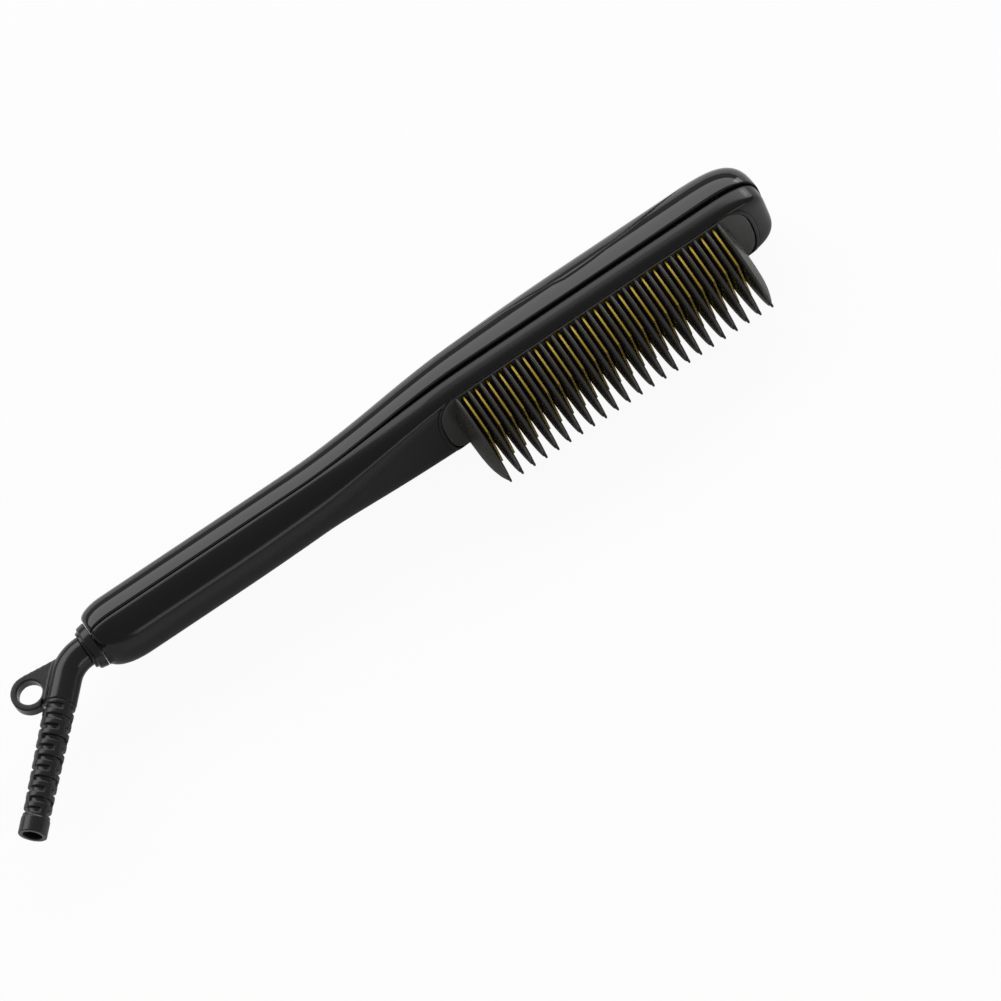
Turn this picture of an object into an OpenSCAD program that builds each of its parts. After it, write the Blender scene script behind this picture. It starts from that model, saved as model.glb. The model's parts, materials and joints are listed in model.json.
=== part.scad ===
// Heated beard comb: two shells, a heated comb in the head, one button and a swivel cord exit.
// It lies on its side. +X runs to the head, +Y to the glossy back, +Z across the width.
// The pieces are drawn on the body's own axis, X = 0 at the tail end, and place() moves them to the origin.

/* [Body] */
// Length of the two shells
body_len = 225; // [215:0.5:240]
// Half width of the handle
handle_half_w = 10; // [9.4:0.1:11]
// Half width of the head at its widest
head_half_w = 15.6; // [15.2:0.1:17]
// Height of the glossy back over the parting line, at the handle
handle_back_h = 10.2; // [9.8:0.1:11]
// Height of the glossy back over the parting line, at the head
head_back_h = 13.6; // [13:0.1:15]
// Depth of the lower shell under the parting line, at the handle
handle_low_h = 9.4; // [9:0.1:10.5]
// Depth of the lower shell under the parting line, at the head
head_low_h = 7; // [6.8:0.1:7.6]
// Length of the head past the neck
head_len = 97; // [92:1:104]
// Length of the neck
neck_len = 58; // [50:1:62]
// Length of the rounded head end
nose_len = 22; // [18:1:30]
// Length of the rounded tail corner
tail_len = 8; // [6:0.5:10]
// How far the tail corner draws in
tail_depth = 2.7; // [2.2:0.1:3]
// Length of the lower shell's rounded tail corner
low_tail_len = 12; // [10:0.5:14]
// How far the lower shell's tail corner draws in
low_tail_depth = 5; // [4:0.1:5.2]
// How far the lower shell steps in under the back, at the head
step_in = 1.2; // [1:0.05:1.4]
// Thickness of the two shells
wall = 2.2; // [1.9:0.05:2.4]

/* [Leaf panel] */
// Tail tip of the leaf panel
leaf_start = 13.5; // [11:0.5:18]
// Distance from the leaf's widest place to the head end
leaf_peak_gap = 60; // [50:1:72]
// Distance from the leaf's head tip to the head end
leaf_end_gap = 8.5; // [7:0.5:10]
// Share of the head's width that the leaf panel takes
leaf_share = 0.95; // [0.88:0.01:0.95]
// Thickness of the leaf panel
leaf_t = 1; // [0.8:0.05:1.2]
// Gap around and under the leaf panel
leaf_gap = 0.1; // [0.05:0.01:0.15]

/* [Comb] */
// Number of teeth
tooth_count = 23; // [15:1:23]
// Distance from tooth to tooth
pitch = 4; // [3.8:0.05:4.1]
// Distance from the last tooth to the head end
comb_end_gap = 16.1; // [15.5:0.1:18]
// Height of a tooth over the comb plate
tooth_h = 24.5; // [20:0.5:28]
// Half width of a tooth at its root
tooth_root_half = 12.8; // [11.5:0.1:12.9]
// Thickness of a tooth at its root
tooth_root_t = 2.7; // [2.2:0.1:2.7]
// Thickness of a tooth at its tip
tooth_tip_t = 1; // [0.9:0.1:1.4]
// Thickness of a tooth's thin edges
tooth_edge_t = 1; // [0.7:0.1:1.2]
// Length of the nub on a tooth's tip
nub_len = 1.6; // [1:0.1:2]
// Outward bulge of the first and the last tooth
end_bulge = 1.6; // [0.5:0.1:1.8]
// Half width of the comb plate
plate_half_w = 13.2; // [13:0.05:13.3]
// Width of the lower shell's rim beside the comb plate
plate_rim = 0.9; // [0.7:0.05:1.1]
// Length of the comb plate's rounded ends
plate_end_len = 6.2; // [5.5:0.1:7]
// Gap between the comb plate and the lower shell
plate_gap = 0.12; // [0.08:0.01:0.2]
// Thickness of a heating fin
fin_t = 0.7; // [0.6:0.05:0.75]
// How far a fin's edge stands back from a tooth's edge
fin_inset = 1; // [0.8:0.1:1.5]
// Share of the tooth's height that a fin reaches
fin_reach = 0.5; // [0.4:0.01:0.7]
// Gap around a fin in its slot
slot_gap = 0.25; // [0.2:0.05:0.3]
// How far a slot runs on past the fin's edge
slot_end_gap = 0.8; // [0.4:0.1:0.9]

/* [Heater] */
// Thickness of the heater base
base_t = 2; // [1.6:0.1:2.2]
// Half width of the heater base
base_half_w = 10; // [9:0.1:10.3]
// Thickness of the heating elements
ptc_t = 2.2; // [1.8:0.1:2.4]
// Thickness of the insulating sheet
film_t = 0.4; // [0.3:0.05:0.5]
// Thickness of the clamp plate
clamp_t = 1; // [0.8:0.1:1.2]

/* [Button and board] */
// Distance from the neck's start to the middle of the button
button_past_neck = 25; // [22:0.5:27]
// Length of the button
button_len = 11.5; // [10:0.5:12]
// Width of the button
button_w = 8; // [7:0.5:8.5]
// Gap around the button
button_gap = 0.3; // [0.2:0.05:0.4]
// Width of the recess around the button
button_rim = 1.2; // [0.8:0.1:1.5]
// How far the button travels
button_travel = 0.5; // [0.3:0.05:0.6]
// Length of the circuit board
board_len = 50; // [45:1:55]
// How far the circuit board runs past the middle of the button
board_past_button = 9; // [8.5:0.1:10]
// Half width of the circuit board
board_half_w = 6.4; // [5.8:0.1:6.6]
// Thickness of the circuit board
board_t = 1.6; // [1:0.1:1.6]
// Height of the circuit board's upper face
board_top = 3; // [2.6:0.1:3.2]

/* [Swivel] */
// Radius of the hollow stem
stem_r = 3; // [2.8:0.05:3.2]
// Running gap between the stem and the bush
stem_gap = 0.05; // [0.02:0.01:0.08]
// Radius of the bush
bush_r = 4.4; // [4.2:0.05:4.6]
// Length of the bush
bush_len = 8; // [6:0.5:8]
// Radius of the swivel collar
collar_r = 7; // [6:0.1:7.2]
// Length of the swivel collar
collar_len = 3.6; // [3:0.1:4]
// Gap between the collar and the shells
collar_gap = 0.15; // [0.1:0.05:0.3]
// Radius of the elbow's tube
elbow_r = 4.6; // [4.2:0.1:4.8]
// Radius of the elbow's bend
bend_r = 11.5; // [10.5:0.5:13]
// Angle of the elbow
bend_angle = 48; // [40:1:52]
// Length of the smooth tube after the bend
elbow_run = 8; // [7:0.5:10]
// Radius of the passage for the leads
lead_bore_r = 1.7; // [1.5:0.1:2]
// Radius of the hole in the hanging tab
tab_hole_r = 3.7; // [3:0.1:4]
// Width of the rim around that hole
tab_rim = 1.9; // [1.6:0.1:2.4]
// Thickness of the hanging tab
tab_t = 3.6; // [2.8:0.1:4]
// Distance of that hole from the tube's middle line
tab_off = 9.1; // [8.8:0.1:10]
// Distance of that hole past the elbow's corner
tab_along = 11; // [9:0.5:12]

/* [Strain relief] */
// Length of the strain relief
relief_len = 40; // [36:0.2:46]
// Radius of the strain relief where it starts
relief_r0 = 4.5; // [4.3:0.05:4.6]
// Radius of the strain relief where it ends
relief_r1 = 3.95; // [3.85:0.05:4.2]
// Radius of the cord's passage
cord_r = 2.8; // [2.4:0.1:2.9]
// Distance from slot to slot
slot_pitch = 3.15; // [3:0.05:3.6]
// Width of a slot
slot_w = 1.5; // [1.2:0.1:1.8]
// Wall left between a slot and the passage
slot_floor = 0.35; // [0.3:0.05:0.5]
// Width of the two ribs that bridge a slot
rib_w = 2; // [1.6:0.1:2.6]
// Length of the plain end ring
end_ring_len = 4.8; // [4:0.2:6]
// How far the end ring stands out
end_ring_out = 0.2; // [0.1:0.05:0.4]

/* [Fasteners] */
// Radius of a screw's thread
screw_r = 1; // [0.9:0.05:1.1]
// Radius of a screw's head
screw_head_r = 1.9; // [1.8:0.05:2]
// Height of a screw's head
screw_head_h = 1.4; // [1.2:0.1:1.6]
// Radius of the screw posts
post_r = 2.7; // [2.5:0.1:2.8]
// Gap around a screw
screw_gap = 0.15; // [0.1:0.05:0.25]

/* [Hidden] */

// Sections of the body
dome_power = 2.3;
belly_power = 2.6;
head_power = 8;
nose_cut = 0.998;
width_power = 3.8;
back_power = 3.5;
low_power = 5;
inner_turn = 78;
arc_steps = 20;
run_steps = 18;
nose_steps = 11;
tail_steps = 5;
parting_handle = -0.2;
parting_head = 1;
dome_len = 95;
belly_lead = 28;
belly_len = 95;
neck_start = body_len - head_len - neck_len;

// The ledge inside the lower shell on which the comb plate bears
ledge_t = 1.4;
ledge_w = 1.2;

// Levels across the parting line, shared by what stacks up in the head
plate_inner_y = -3.8;
base_y = plate_inner_y + base_t;
ptc_y = base_y + ptc_t;
film_y = ptc_y + film_t;
clamp_y = film_y + clamp_t;

// Places along the body, counted back from the head end
plate_before_comb = 7.2;
plate_past_comb = 8.7;
comb_end = body_len - comb_end_gap;
comb_start = comb_end - pitch * (tooth_count - 1);
comb_mid = (comb_start + comb_end) / 2;
plate_start = comb_start - plate_before_comb;
plate_end = comb_end + plate_past_comb;
plate_mid = (plate_start + plate_end) / 2;
plate_half_len = (plate_end - plate_start) / 2;
screw_in = 4.1;
front_screw_x = plate_start + screw_in;
end_screw_x = plate_end - screw_in;
button_x = neck_start + button_past_neck;
switch_half = 3;
board_end = button_x + board_past_button;
board_start = board_end - board_len;
board_post_in = 7;
part_gap = 0.5;
board_posts = [board_start + board_post_in, button_x - switch_half - screw_head_r - 4 * part_gap];
rear_screw_x = board_start - post_r - 3;
leaf_peak = body_len - leaf_peak_gap;
leaf_end = body_len - leaf_end_gap;
leaf_low_y = 4.5;

// The lower shell's round boss that carries the collar's line on under the tail end
tail_boss_out = 0.1;

// The swivel's straight runs
bend_reach = bend_r * tan(bend_angle / 2);
corner_x = -collar_len - collar_gap - 0.2 - bend_reach;
clip_x = bush_len + 0.2;
clip_t = 0.8;
clip_groove = 0.4;
stem_end = 21;
ring_places = [11.5, 15.5];
ring_w = 1.8;
ring_t = 0.6;
spigot_len = 6;
spigot_r = 3.3;
relief_gap = 0.4;
slot_start = 1.2;
contact_x = [10.5, 19.5];
contact_half_w = 3;
contact_t = 0.9;

// The box around the whole object, from which the origin follows
relief_end = bend_reach + elbow_run + relief_len;
low_x = corner_x - relief_end * cos(bend_angle) - (relief_r1 + end_ring_out) * sin(bend_angle);
low_y = min(-relief_end * sin(bend_angle) - (relief_r1 + end_ring_out) * cos(bend_angle),
            parting_head - head_low_h - tooth_h);
high_y = parting_head + head_back_h;
origin_x = (low_x + body_len) / 2;
origin_y = (low_y + high_y) / 2;

module place() {
    translate([-origin_x, -origin_y, head_half_w]) children();
}

function mix(a, b, t) = a + (b - a) * t;
function smooth(t) = let (u = min(1, max(0, t))) u * u * (3 - 2 * u);
function super(t, power) = pow(max(0, 1 - pow(t, power)), 1 / power);

// Widths, heights and the parting line of the body at a place along it
function neck(x) = smooth((x - neck_start) / neck_len);
function parting(x) = mix(parting_handle, parting_head, neck(x));
function nose(x, inset, power) =
    let (t = (x - body_len + nose_len) / (nose_len - inset))
    t <= 0 ? 1 : super(min(t, 1) * nose_cut, power);
function corner(x, length = tail_len, depth = tail_depth) =
    x >= length ? 0 : depth * (1 - sqrt(max(0, 1 - pow(1 - max(x, 0) / length, 2))));
function half_w(x, inset = 0) =
    mix(handle_half_w, head_half_w, neck(x)) * nose(x, inset, width_power) - corner(x) - inset;
function back_h(x, inset = 0) =
    mix(handle_back_h, head_back_h, smooth((x - neck_start) / dome_len)) * nose(x, inset, back_power)
    - corner(x) - inset;
function low_h(x, inset = 0) =
    mix(handle_low_h, head_low_h, smooth((x - neck_start + belly_lead) / belly_len))
    * nose(x, inset, low_power) - corner(x, low_tail_len, low_tail_depth) - inset
    - (inset > 0 ? ledge_t * neck(x) : 0);
function low_half_w(x, inset = 0) =
    half_w(x, inset) - mix(0.1, step_in, neck(x)) * nose(x, inset, width_power);
function crest(x) = parting(x) + back_h(x);
function belly(x) = parting(x) - low_h(x);

// Places along the body at which its sections are drawn
function stations(inset) = concat(
    [for (i = [0 : tail_steps]) inset + tail_len * (1 - cos(90 * i / tail_steps))],
    [for (i = [1 : run_steps]) mix(tail_len + inset, body_len - nose_len, i / run_steps)],
    [for (i = [1 : nose_steps])
        body_len - nose_len + (nose_len - inset) * sin((inset > 0 ? inner_turn : 90) * i / nose_steps)]);

// A superellipse's upper half from -z over the top to +z, as points [y, z] about the parting line
function half_section(half, height, power) =
    [for (i = [0 : arc_steps])
        let (a = 180 * i / arc_steps, c = cos(a))
        [height * pow(max(0, sin(a)), 2 / power), -half * sign(c) * pow(abs(c), 2 / power)]];

function back_ring(x, inset, skirt) =
    let (arc = half_section(half_w(x, inset), back_h(x, inset), dome_power), w = half_w(x, inset))
    concat([for (p = arc) [x, parting(x) + p[0], p[1]]],
           skirt > 0 ? [[x, parting(x) - skirt, w], [x, parting(x) - skirt, -w]] : []);

function low_ring(x, inset, skirt) =
    let (power = mix(belly_power, head_power, neck(x)), w = low_half_w(x, inset),
         arc = half_section(w, low_h(x, inset), power))
    concat([for (p = arc) [x, parting(x) - p[0], -p[1]]],
           skirt > 0 ? [[x, parting(x) + skirt, -w], [x, parting(x) + skirt, w]] : []);

// A closed skin over rings of equal size, listed from low X to high X
module loft(rings) {
    n = len(rings[0]);
    last = len(rings) - 1;
    sides = [for (i = [0 : last - 1], j = [0 : n - 1], k = [0, 1])
        let (a = i * n + j, b = i * n + (j + 1) % n, c = a + n, d = b + n)
        k == 0 ? [a, c, b] : [b, c, d]];
    ends = [[for (j = [0 : n - 1]) j], [for (j = [n - 1 : -1 : 0]) last * n + j]];
    polyhedron(points = [for (r = rings) each r], faces = concat(sides, ends));
}

module back_form(inset = 0, skirt = 0) {
    loft([for (x = stations(inset)) back_ring(x, inset, skirt)]);
}

module low_form(inset = 0, skirt = 0) {
    loft([for (x = stations(inset)) low_ring(x, inset, skirt)]);
}

// Cylinders along the axes, and flat outlines in X and Z pushed towards -Y
module rod_x(x0, x1, r) {
    translate([x0, 0, 0]) rotate([0, 90, 0]) cylinder(h = x1 - x0, r = r, $fn = 64);
}

module rod_y(x, y0, y1, r, z = 0) {
    translate([x, y0, z]) rotate([-90, 0, 0]) cylinder(h = y1 - y0, r = r, $fn = 48);
}

module push_down(y_top, depth) {
    translate([0, y_top, 0]) rotate([90, 0, 0]) linear_extrude(depth) children();
}

module block(x, y, z) {
    translate([x[0], y[0], z[0]]) cube([x[1] - x[0], y[1] - y[0], z[1] - z[0]]);
}

// A block that reaches as far to both sides of the middle plane
module bar(x, y, half) {
    block(x, y, [-half, half]);
}

// A round tube of eight sides along a chain of points
module lead(points, r) {
    last = len(points) - 1;
    loft([for (i = [0 : last])
        let (ahead = points[min(i + 1, last)], behind = points[max(i - 1, 0)], d = ahead - behind,
             u = d / norm(d), side = cross(u, [0, 1, 0]), s = side / norm(side), t = cross(s, u))
        [for (k = [0 : 7]) points[i] + r * (s * cos(45 * k) - t * sin(45 * k))]]);
}

// The leaf panel's outline
function leaf_half(x) =
    half_w(x) * leaf_share * (x < leaf_peak
        ? pow((x - leaf_start) / (leaf_peak - leaf_start), 0.75)
        : super((x - leaf_peak) / (leaf_end - leaf_peak), 2.4));
leaf_steps = 24;
leaf_places = concat(
    [for (i = [0 : leaf_steps]) mix(leaf_start, leaf_peak, pow(i / leaf_steps, 1.5))],
    [for (i = [1 : leaf_steps / 2]) mix(leaf_peak, leaf_end, sin(90 * i / (leaf_steps / 2)))]);

module leaf_outline() {
    last = len(leaf_places) - 1;
    polygon(concat([for (x = leaf_places) [x, leaf_half(x)]],
                   [for (i = [last - 1 : -1 : 1]) [leaf_places[i], -leaf_half(leaf_places[i])]]));
}

module oval(length, width) {
    polygon([for (a = [0 : 10 : 350]) [length / 2 * cos(a), width / 2 * sin(a)]]);
}

module button_oval(grow) {
    translate([button_x, 0]) oval(button_len + 2 * grow, button_w + 2 * grow);
}

// The comb plate's outline: straight sides with rounded ends, kept inside the lower shell's rim
plate_run = plate_half_len - plate_end_len;
function plate_half(x, grow = 0) =
    let (t = max(0, abs(x - plate_mid) - plate_run) / (plate_end_len + grow))
    min((plate_half_w + grow) * pow(max(0, 1 - t * t), 0.35), low_half_w(x) - plate_rim + grow);

module plate_outline(grow = 0) {
    end_len = plate_end_len + grow;
    places = concat([for (a = [0 : 7.5 : 82.5]) plate_mid - plate_run - end_len * cos(a)],
                    [for (i = [0 : 10]) plate_mid + plate_run * sin(18 * i - 90)],
                    [for (a = [82.5 : -7.5 : 0]) plate_mid + plate_run + end_len * cos(a)]);
    last = len(places) - 1;
    polygon(concat([for (x = places) [x, plate_half(x, grow)]],
                   [for (i = [last - 1 : -1 : 1]) [places[i], -plate_half(places[i], grow)]]));
}

// Half width at the root of a tooth, in from the comb plate's edge
root_inset = 0.3;
function root_half(x) = min(tooth_root_half, plate_half(x) - root_inset);

// Half width of a tooth at a depth under its root
body_depth = tooth_h - nub_len;
nub_half = 0.7;
tooth_power = 0.65;
taper_power = 4.6;
function tooth_half(d, root) =
    nub_half + (root - nub_half) * pow(max(0, 1 - pow(d / body_depth, 2)), tooth_power);
tooth_sink = 1.2;
tooth_levels = [0, 0.15, 0.3, 0.45, 0.58, 0.7, 0.8, 0.88, 0.94, 0.98];

function tooth_ring(y, half, mid_t, edge_t, bulge) =
    [[-edge_t / 2, y, half], [-mid_t / 2, y, 0], [-edge_t / 2, y, -half],
     [edge_t / 2, y, -half], [mid_t / 2 + bulge, y, 0], [edge_t / 2, y, half]];

module tooth(root, bulge) {
    loft(concat(
        [tooth_ring(root_y + tooth_sink, root, tooth_root_t, tooth_edge_t, bulge)],
        [for (s = tooth_levels)
            tooth_ring(root_y - s * body_depth, tooth_half(s * body_depth, root),
                       mix(tooth_root_t, tooth_tip_t, pow(s, taper_power)), tooth_edge_t,
                       bulge * (1 - pow(s, taper_power)))],
        [tooth_ring(root_y - body_depth - 0.2, nub_half, 0.9, 0.7, 0),
         tooth_ring(root_y - tooth_h, nub_half * 0.8, 0.7, 0.5, 0)]));
}

// Root of the teeth, on the outer face of the comb plate
root_y = parting_head - head_low_h;

module fin_outline(root) {
    reach = fin_reach * tooth_h;
    steps = 10;
    side = [for (i = [0 : steps])
        let (d = reach * i / steps) [root_y - d, tooth_half(d, root) - fin_inset]];
    polygon(concat([[plate_inner_y, side[0][1]]], side,
                   [for (i = [steps : -1 : 0]) [side[i][0], -side[i][1]]],
                   [[plate_inner_y, -side[0][1]]]));
}

// One fin between two teeth, drawn in Y and Z and as thick as it is along X
module fin(x) {
    translate([x - fin_t / 2, 0, 0]) rotate([90, 0, 90]) linear_extrude(fin_t) fin_outline(root_half(x));
}

function fin_x(i) = comb_start + pitch * (i + 0.5);

module back_shell() {
    color([0.04, 0.04, 0.045]) place() difference() {
        union() {
            difference() {
                back_form();
                back_form(wall, 1);
            }
            rod_y(rear_screw_x, parting_handle, crest(rear_screw_x) - leaf_t - 0.5, post_r);
            rod_y(front_screw_x, clamp_y, crest(front_screw_x) - leaf_t - 0.5, post_r);
            rod_y(end_screw_x, clamp_y, crest(end_screw_x) - leaf_t - 0.5, post_r);
        }
        difference() {
            push_down(high_y + 1, high_y + 1 - leaf_low_y) offset(delta = leaf_gap) leaf_outline();
            back_form(leaf_t + leaf_gap, 1);
        }
        push_down(high_y + 1, high_y) button_oval(button_gap);
        for (x = [rear_screw_x, front_screw_x, end_screw_x]) {
            rod_y(x, parting_handle - 1, high_y, screw_r + screw_gap);
            rod_y(x, screw_seat(x), high_y, screw_head_r + screw_gap);
        }
        rod_x(-1, wall + 2, bush_r + stem_gap);
    }
}

// Height of the face under a housing screw's head
function screw_seat(x) = crest(x) - leaf_t - 4.5;

module leaf_panel() {
    color([0.05, 0.05, 0.055]) place() difference() {
        intersection() {
            back_form();
            push_down(high_y + 1, high_y + 1 - leaf_low_y) leaf_outline();
        }
        back_form(leaf_t, 1);
        push_down(high_y + 1, high_y) button_oval(button_gap + button_rim);
    }
}

module lower_shell() {
    color([0.13, 0.13, 0.13]) place() difference() {
        union() {
            difference() {
                low_form();
                low_form(wall, 1);
            }
            rod_y(rear_screw_x, belly(rear_screw_x) + 0.8, parting_handle, post_r);
            for (x = board_posts) {
                rod_y(x, belly(x) + 0.8, board_top - board_t, post_r);
            }
            bar([contact_x[0] - 0.5, contact_x[1] + 0.5], [belly(contact_x[1]) + 1, contact_y],
                contact_half_w + 0.4);
            intersection() {
                rod_x(0, wall, collar_r + tail_boss_out);
                bar([-1, wall + 1], [-2 * collar_r, parting_handle], 2 * collar_r);
            }
        }
        push_down(plate_inner_y, 10) plate_outline(plate_gap);
        push_down(2, 12) plate_outline(-ledge_w);
        rod_y(rear_screw_x, belly(rear_screw_x) + 3, 5, screw_r);
        for (x = board_posts) {
            rod_y(x, belly(x) + 3, 5, screw_r);
        }
        rod_x(-1, wall + 2, bush_r + stem_gap);
    }
}

module comb_plate() {
    color([0.2, 0.2, 0.19]) place() difference() {
        union() {
            intersection() {
                low_form();
                push_down(plate_inner_y, 10) plate_outline();
            }
            for (x = [front_screw_x, end_screw_x]) {
                rod_y(x, plate_inner_y - 0.5, film_y, post_r);
            }
        }
        for (i = [0 : tooth_count - 2]) {
            half = root_half(fin_x(i)) - fin_inset + slot_end_gap;
            reach = fin_t / 2 + slot_gap;
            bar([fin_x(i) - reach, fin_x(i) + reach], [-20, 0], half);
        }
        for (x = [front_screw_x, end_screw_x]) {
            rod_y(x, plate_inner_y, film_y + 1, screw_r);
        }
    }
}

module comb_teeth() {
    color([0.16, 0.16, 0.15]) place() for (i = [0 : tooth_count - 1]) {
        x = comb_start + pitch * i;
        translate([x, 0, 0]) mirror([i == 0 ? 1 : 0, 0, 0])
            tooth(root_half(x), i == 0 || i == tooth_count - 1 ? end_bulge : 0);
    }
}

module heater_base() {
    color([0.85, 0.62, 0.15]) place()
        bar([comb_start + base_inset, comb_end - base_inset], [plate_inner_y, base_y], base_half_w);
}

module heater_fins() {
    color([0.9, 0.68, 0.12]) place() for (i = [0 : tooth_count - 2]) {
        fin(fin_x(i));
    }
}

element_len = 38;
element_gap = 3;
element_half_w = 6;
film_half_w = 8;
clamp_half_w = 7;
base_inset = 0.6;
film_inset = 2;

module heating_elements() {
    color([0.75, 0.72, 0.68]) place()
        for (x = [comb_mid - element_gap - element_len, comb_mid + element_gap]) {
            bar([x, x + element_len], [base_y, ptc_y], element_half_w);
        }
}

module heater_insulator() {
    color([0.75, 0.5, 0.15]) place()
        bar([comb_start + film_inset, comb_end - film_inset], [ptc_y, film_y], film_half_w);
}

module heater_clamp() {
    color([0.7, 0.7, 0.72]) place() difference() {
        bar([front_screw_x - post_r, end_screw_x + post_r], [film_y, clamp_y], clamp_half_w);
        for (x = [front_screw_x, end_screw_x]) {
            rod_y(x, 0, 5, screw_r + screw_gap);
        }
    }
}

fuse_r = 1.5;
bead_r = 1;

module thermal_fuse() {
    color([0.8, 0.8, 0.8]) place() translate([comb_mid - 5, clamp_y + fuse_r, 4]) rod_x(0, 10, fuse_r);
}

module thermistor() {
    color([0.1, 0.1, 0.1]) place() translate([comb_mid + 18, clamp_y + bead_r, -4]) rod_x(0, 4, bead_r);
}

module screw(x, y, shank) {
    rod_y(x, y, y + screw_head_h, screw_head_r);
    rod_y(x, y - shank, y + 0.1, screw_r - 0.02);
}

module housing_screws() {
    color([0.6, 0.6, 0.62]) place() {
        screw(rear_screw_x, screw_seat(rear_screw_x), screw_seat(rear_screw_x) - parting_handle + 5);
        for (x = [front_screw_x, end_screw_x]) {
            screw(x, screw_seat(x), screw_seat(x) - plate_inner_y - 0.3);
        }
    }
}

// Levels of the button, from the crest down to the switch
button_top = crest(button_x) - 0.1;
flange_y = crest(button_x) - wall - 1.2;
flange_t = 0.8;
plunger_top = board_top + 3.8;
switch_top = board_top + 3;

module power_button() {
    color([0.07, 0.07, 0.075]) place() {
        push_down(button_top, button_top - flange_y) button_oval(0);
        push_down(flange_y, flange_t) button_oval(0.7);
        rod_y(button_x, plunger_top, flange_y, 1.6);
    }
}

module switch_plunger() {
    color([0.85, 0.85, 0.82]) place() rod_y(button_x, board_top + 1.8, plunger_top, 1.5);
}

module switch_body() {
    color([0.15, 0.15, 0.16]) place() difference() {
        bar([button_x - switch_half, button_x + switch_half], [board_top, switch_top], switch_half);
        rod_y(button_x, board_top + 1.8 - button_travel - 0.3, switch_top + 1, 1.5 + stem_gap);
    }
}

module circuit_board() {
    color([0.1, 0.35, 0.18]) place() difference() {
        bar([board_start, board_end], [board_top - board_t, board_top], board_half_w);
        for (x = board_posts) {
            rod_y(x, 0, board_top + 1, screw_r + screw_gap);
        }
    }
}

// Parts on the board: terminals at its ends, the others between its two screws
terminal_len = 3.5;
terminal_w = 3;
terminal_h = 2.6;
terminal_z = 3.4;
can_r = 2.8;
can_h = 3.8;
chip_half = 3;
chip_h = 1.4;
relay_len = 5;
relay_w = 3;
relay_h = 2.2;
relay_z = 2;
parts_from = board_posts[0] + screw_head_r + part_gap;
parts_to = board_posts[1] - screw_head_r - part_gap;
chip_x = (parts_from + parts_to) / 2;

module board_parts() {
    color([0.2, 0.2, 0.22]) place() {
        for (z = [-terminal_z - terminal_w / 2, terminal_z - terminal_w / 2]) {
            block([board_start + part_gap, board_start + part_gap + terminal_len],
                  [board_top, board_top + terminal_h], [z, z + terminal_w]);
            block([board_end - part_gap - terminal_len, board_end - part_gap],
                  [board_top, board_top + terminal_h], [z, z + terminal_w]);
        }
        rod_y(parts_from + can_r, board_top, board_top + can_h, can_r);
        bar([chip_x - chip_half, chip_x + chip_half], [board_top, board_top + chip_h], chip_half);
        for (z = [-relay_z - relay_w, relay_z]) {
            block([parts_to - relay_len, parts_to], [board_top, board_top + relay_h], [z, z + relay_w]);
        }
    }
}

board_screw_len = 6;

module board_screws() {
    color([0.6, 0.6, 0.62]) place() for (x = board_posts) {
        screw(x, board_top, board_screw_len);
    }
}

// Leads as thick as this run from the slip rings' contacts to the board and from the board to the heater
lead_r = 0.6;
lead_y = board_top + lead_r + 0.1;
lead_side_z = 4.8;
contact_y = -6;
contact_lead_y = contact_y + lead_r;
contact_lead_z = 2;
heater_lead_len = 20;

module heater_leads() {
    from = board_end - part_gap;
    to = front_screw_x + 1;
    color([0.75, 0.12, 0.1]) place() for (side = [-1, 1]) {
        lead([[from, lead_y, side * terminal_z],
              [from + 1, lead_y, side * terminal_z],
              [mix(from + 1, to, 0.4), lead_y, side * lead_side_z],
              [mix(from + 1, to, 0.7), lead_y, side * lead_side_z],
              [to, mix(clamp_y + lead_r, lead_y, 0.5), side * lead_side_z],
              [to + 4, clamp_y + lead_r, side * lead_side_z],
              [front_screw_x + heater_lead_len, clamp_y + lead_r, side * lead_side_z]], lead_r);
    }
}

module cord_leads() {
    from = contact_x[1] + 1.5;
    to = board_start + part_gap;
    color([0.15, 0.25, 0.6]) place() for (side = [-1, 1]) {
        lead([[contact_x[1], contact_lead_y, side * contact_lead_z],
              [from, contact_lead_y, side * contact_lead_z],
              [mix(from, to, 0.12), contact_lead_y + lead_r, side * mix(contact_lead_z, lead_side_z, 0.4)],
              [mix(from, to, 0.35), mix(contact_lead_y, lead_y, 0.38), side * lead_side_z],
              [mix(from, to, 0.6), mix(contact_lead_y, lead_y, 0.76), side * lead_side_z],
              [mix(from, to, 0.82), lead_y, side * mix(lead_side_z, terminal_z, 0.6)],
              [to - 1, lead_y, side * terminal_z],
              [to, lead_y, side * terminal_z]], lead_r);
    }
}

bush_seat_gap = 0.1;
bush_flange_t = 1.8;
bush_flange_out = 0.6;

module swivel_bush() {
    color([0.8, 0.78, 0.7]) place() difference() {
        union() {
            rod_x(0.2, bush_len, bush_r);
            rod_x(wall + bush_seat_gap, wall + bush_flange_t, bush_r + bush_flange_out);
        }
        rod_x(-1, bush_len + 1, stem_r + stem_gap);
    }
}

// The collar is slimmer by this much at its outer end
collar_taper = 0.4;

module swivel_collar() {
    color([0.09, 0.09, 0.09]) place() difference() {
        translate([-collar_gap, 0, 0]) rotate([0, -90, 0]) rotate_extrude($fn = 96)
            polygon([[stem_r + 0.02, 0],
                     [collar_r - 0.2, 0],
                     [collar_r, 0.2],
                     [collar_r - collar_taper, collar_len - 1.2],
                     [collar_r - collar_taper - 0.3, collar_len - 0.9],
                     [collar_r - collar_taper - 0.8, collar_len - 0.8],
                     [collar_r - collar_taper - 1, collar_len],
                     [stem_r + 0.02, collar_len]]);
    }
}

// Runs along the strain relief's own line, from the elbow's corner
module along_relief(s) {
    translate([corner_x, 0, 0]) rotate([0, 0, bend_angle]) translate([-s, 0, 0])
        rotate([0, -90, 0]) children();
}

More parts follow.
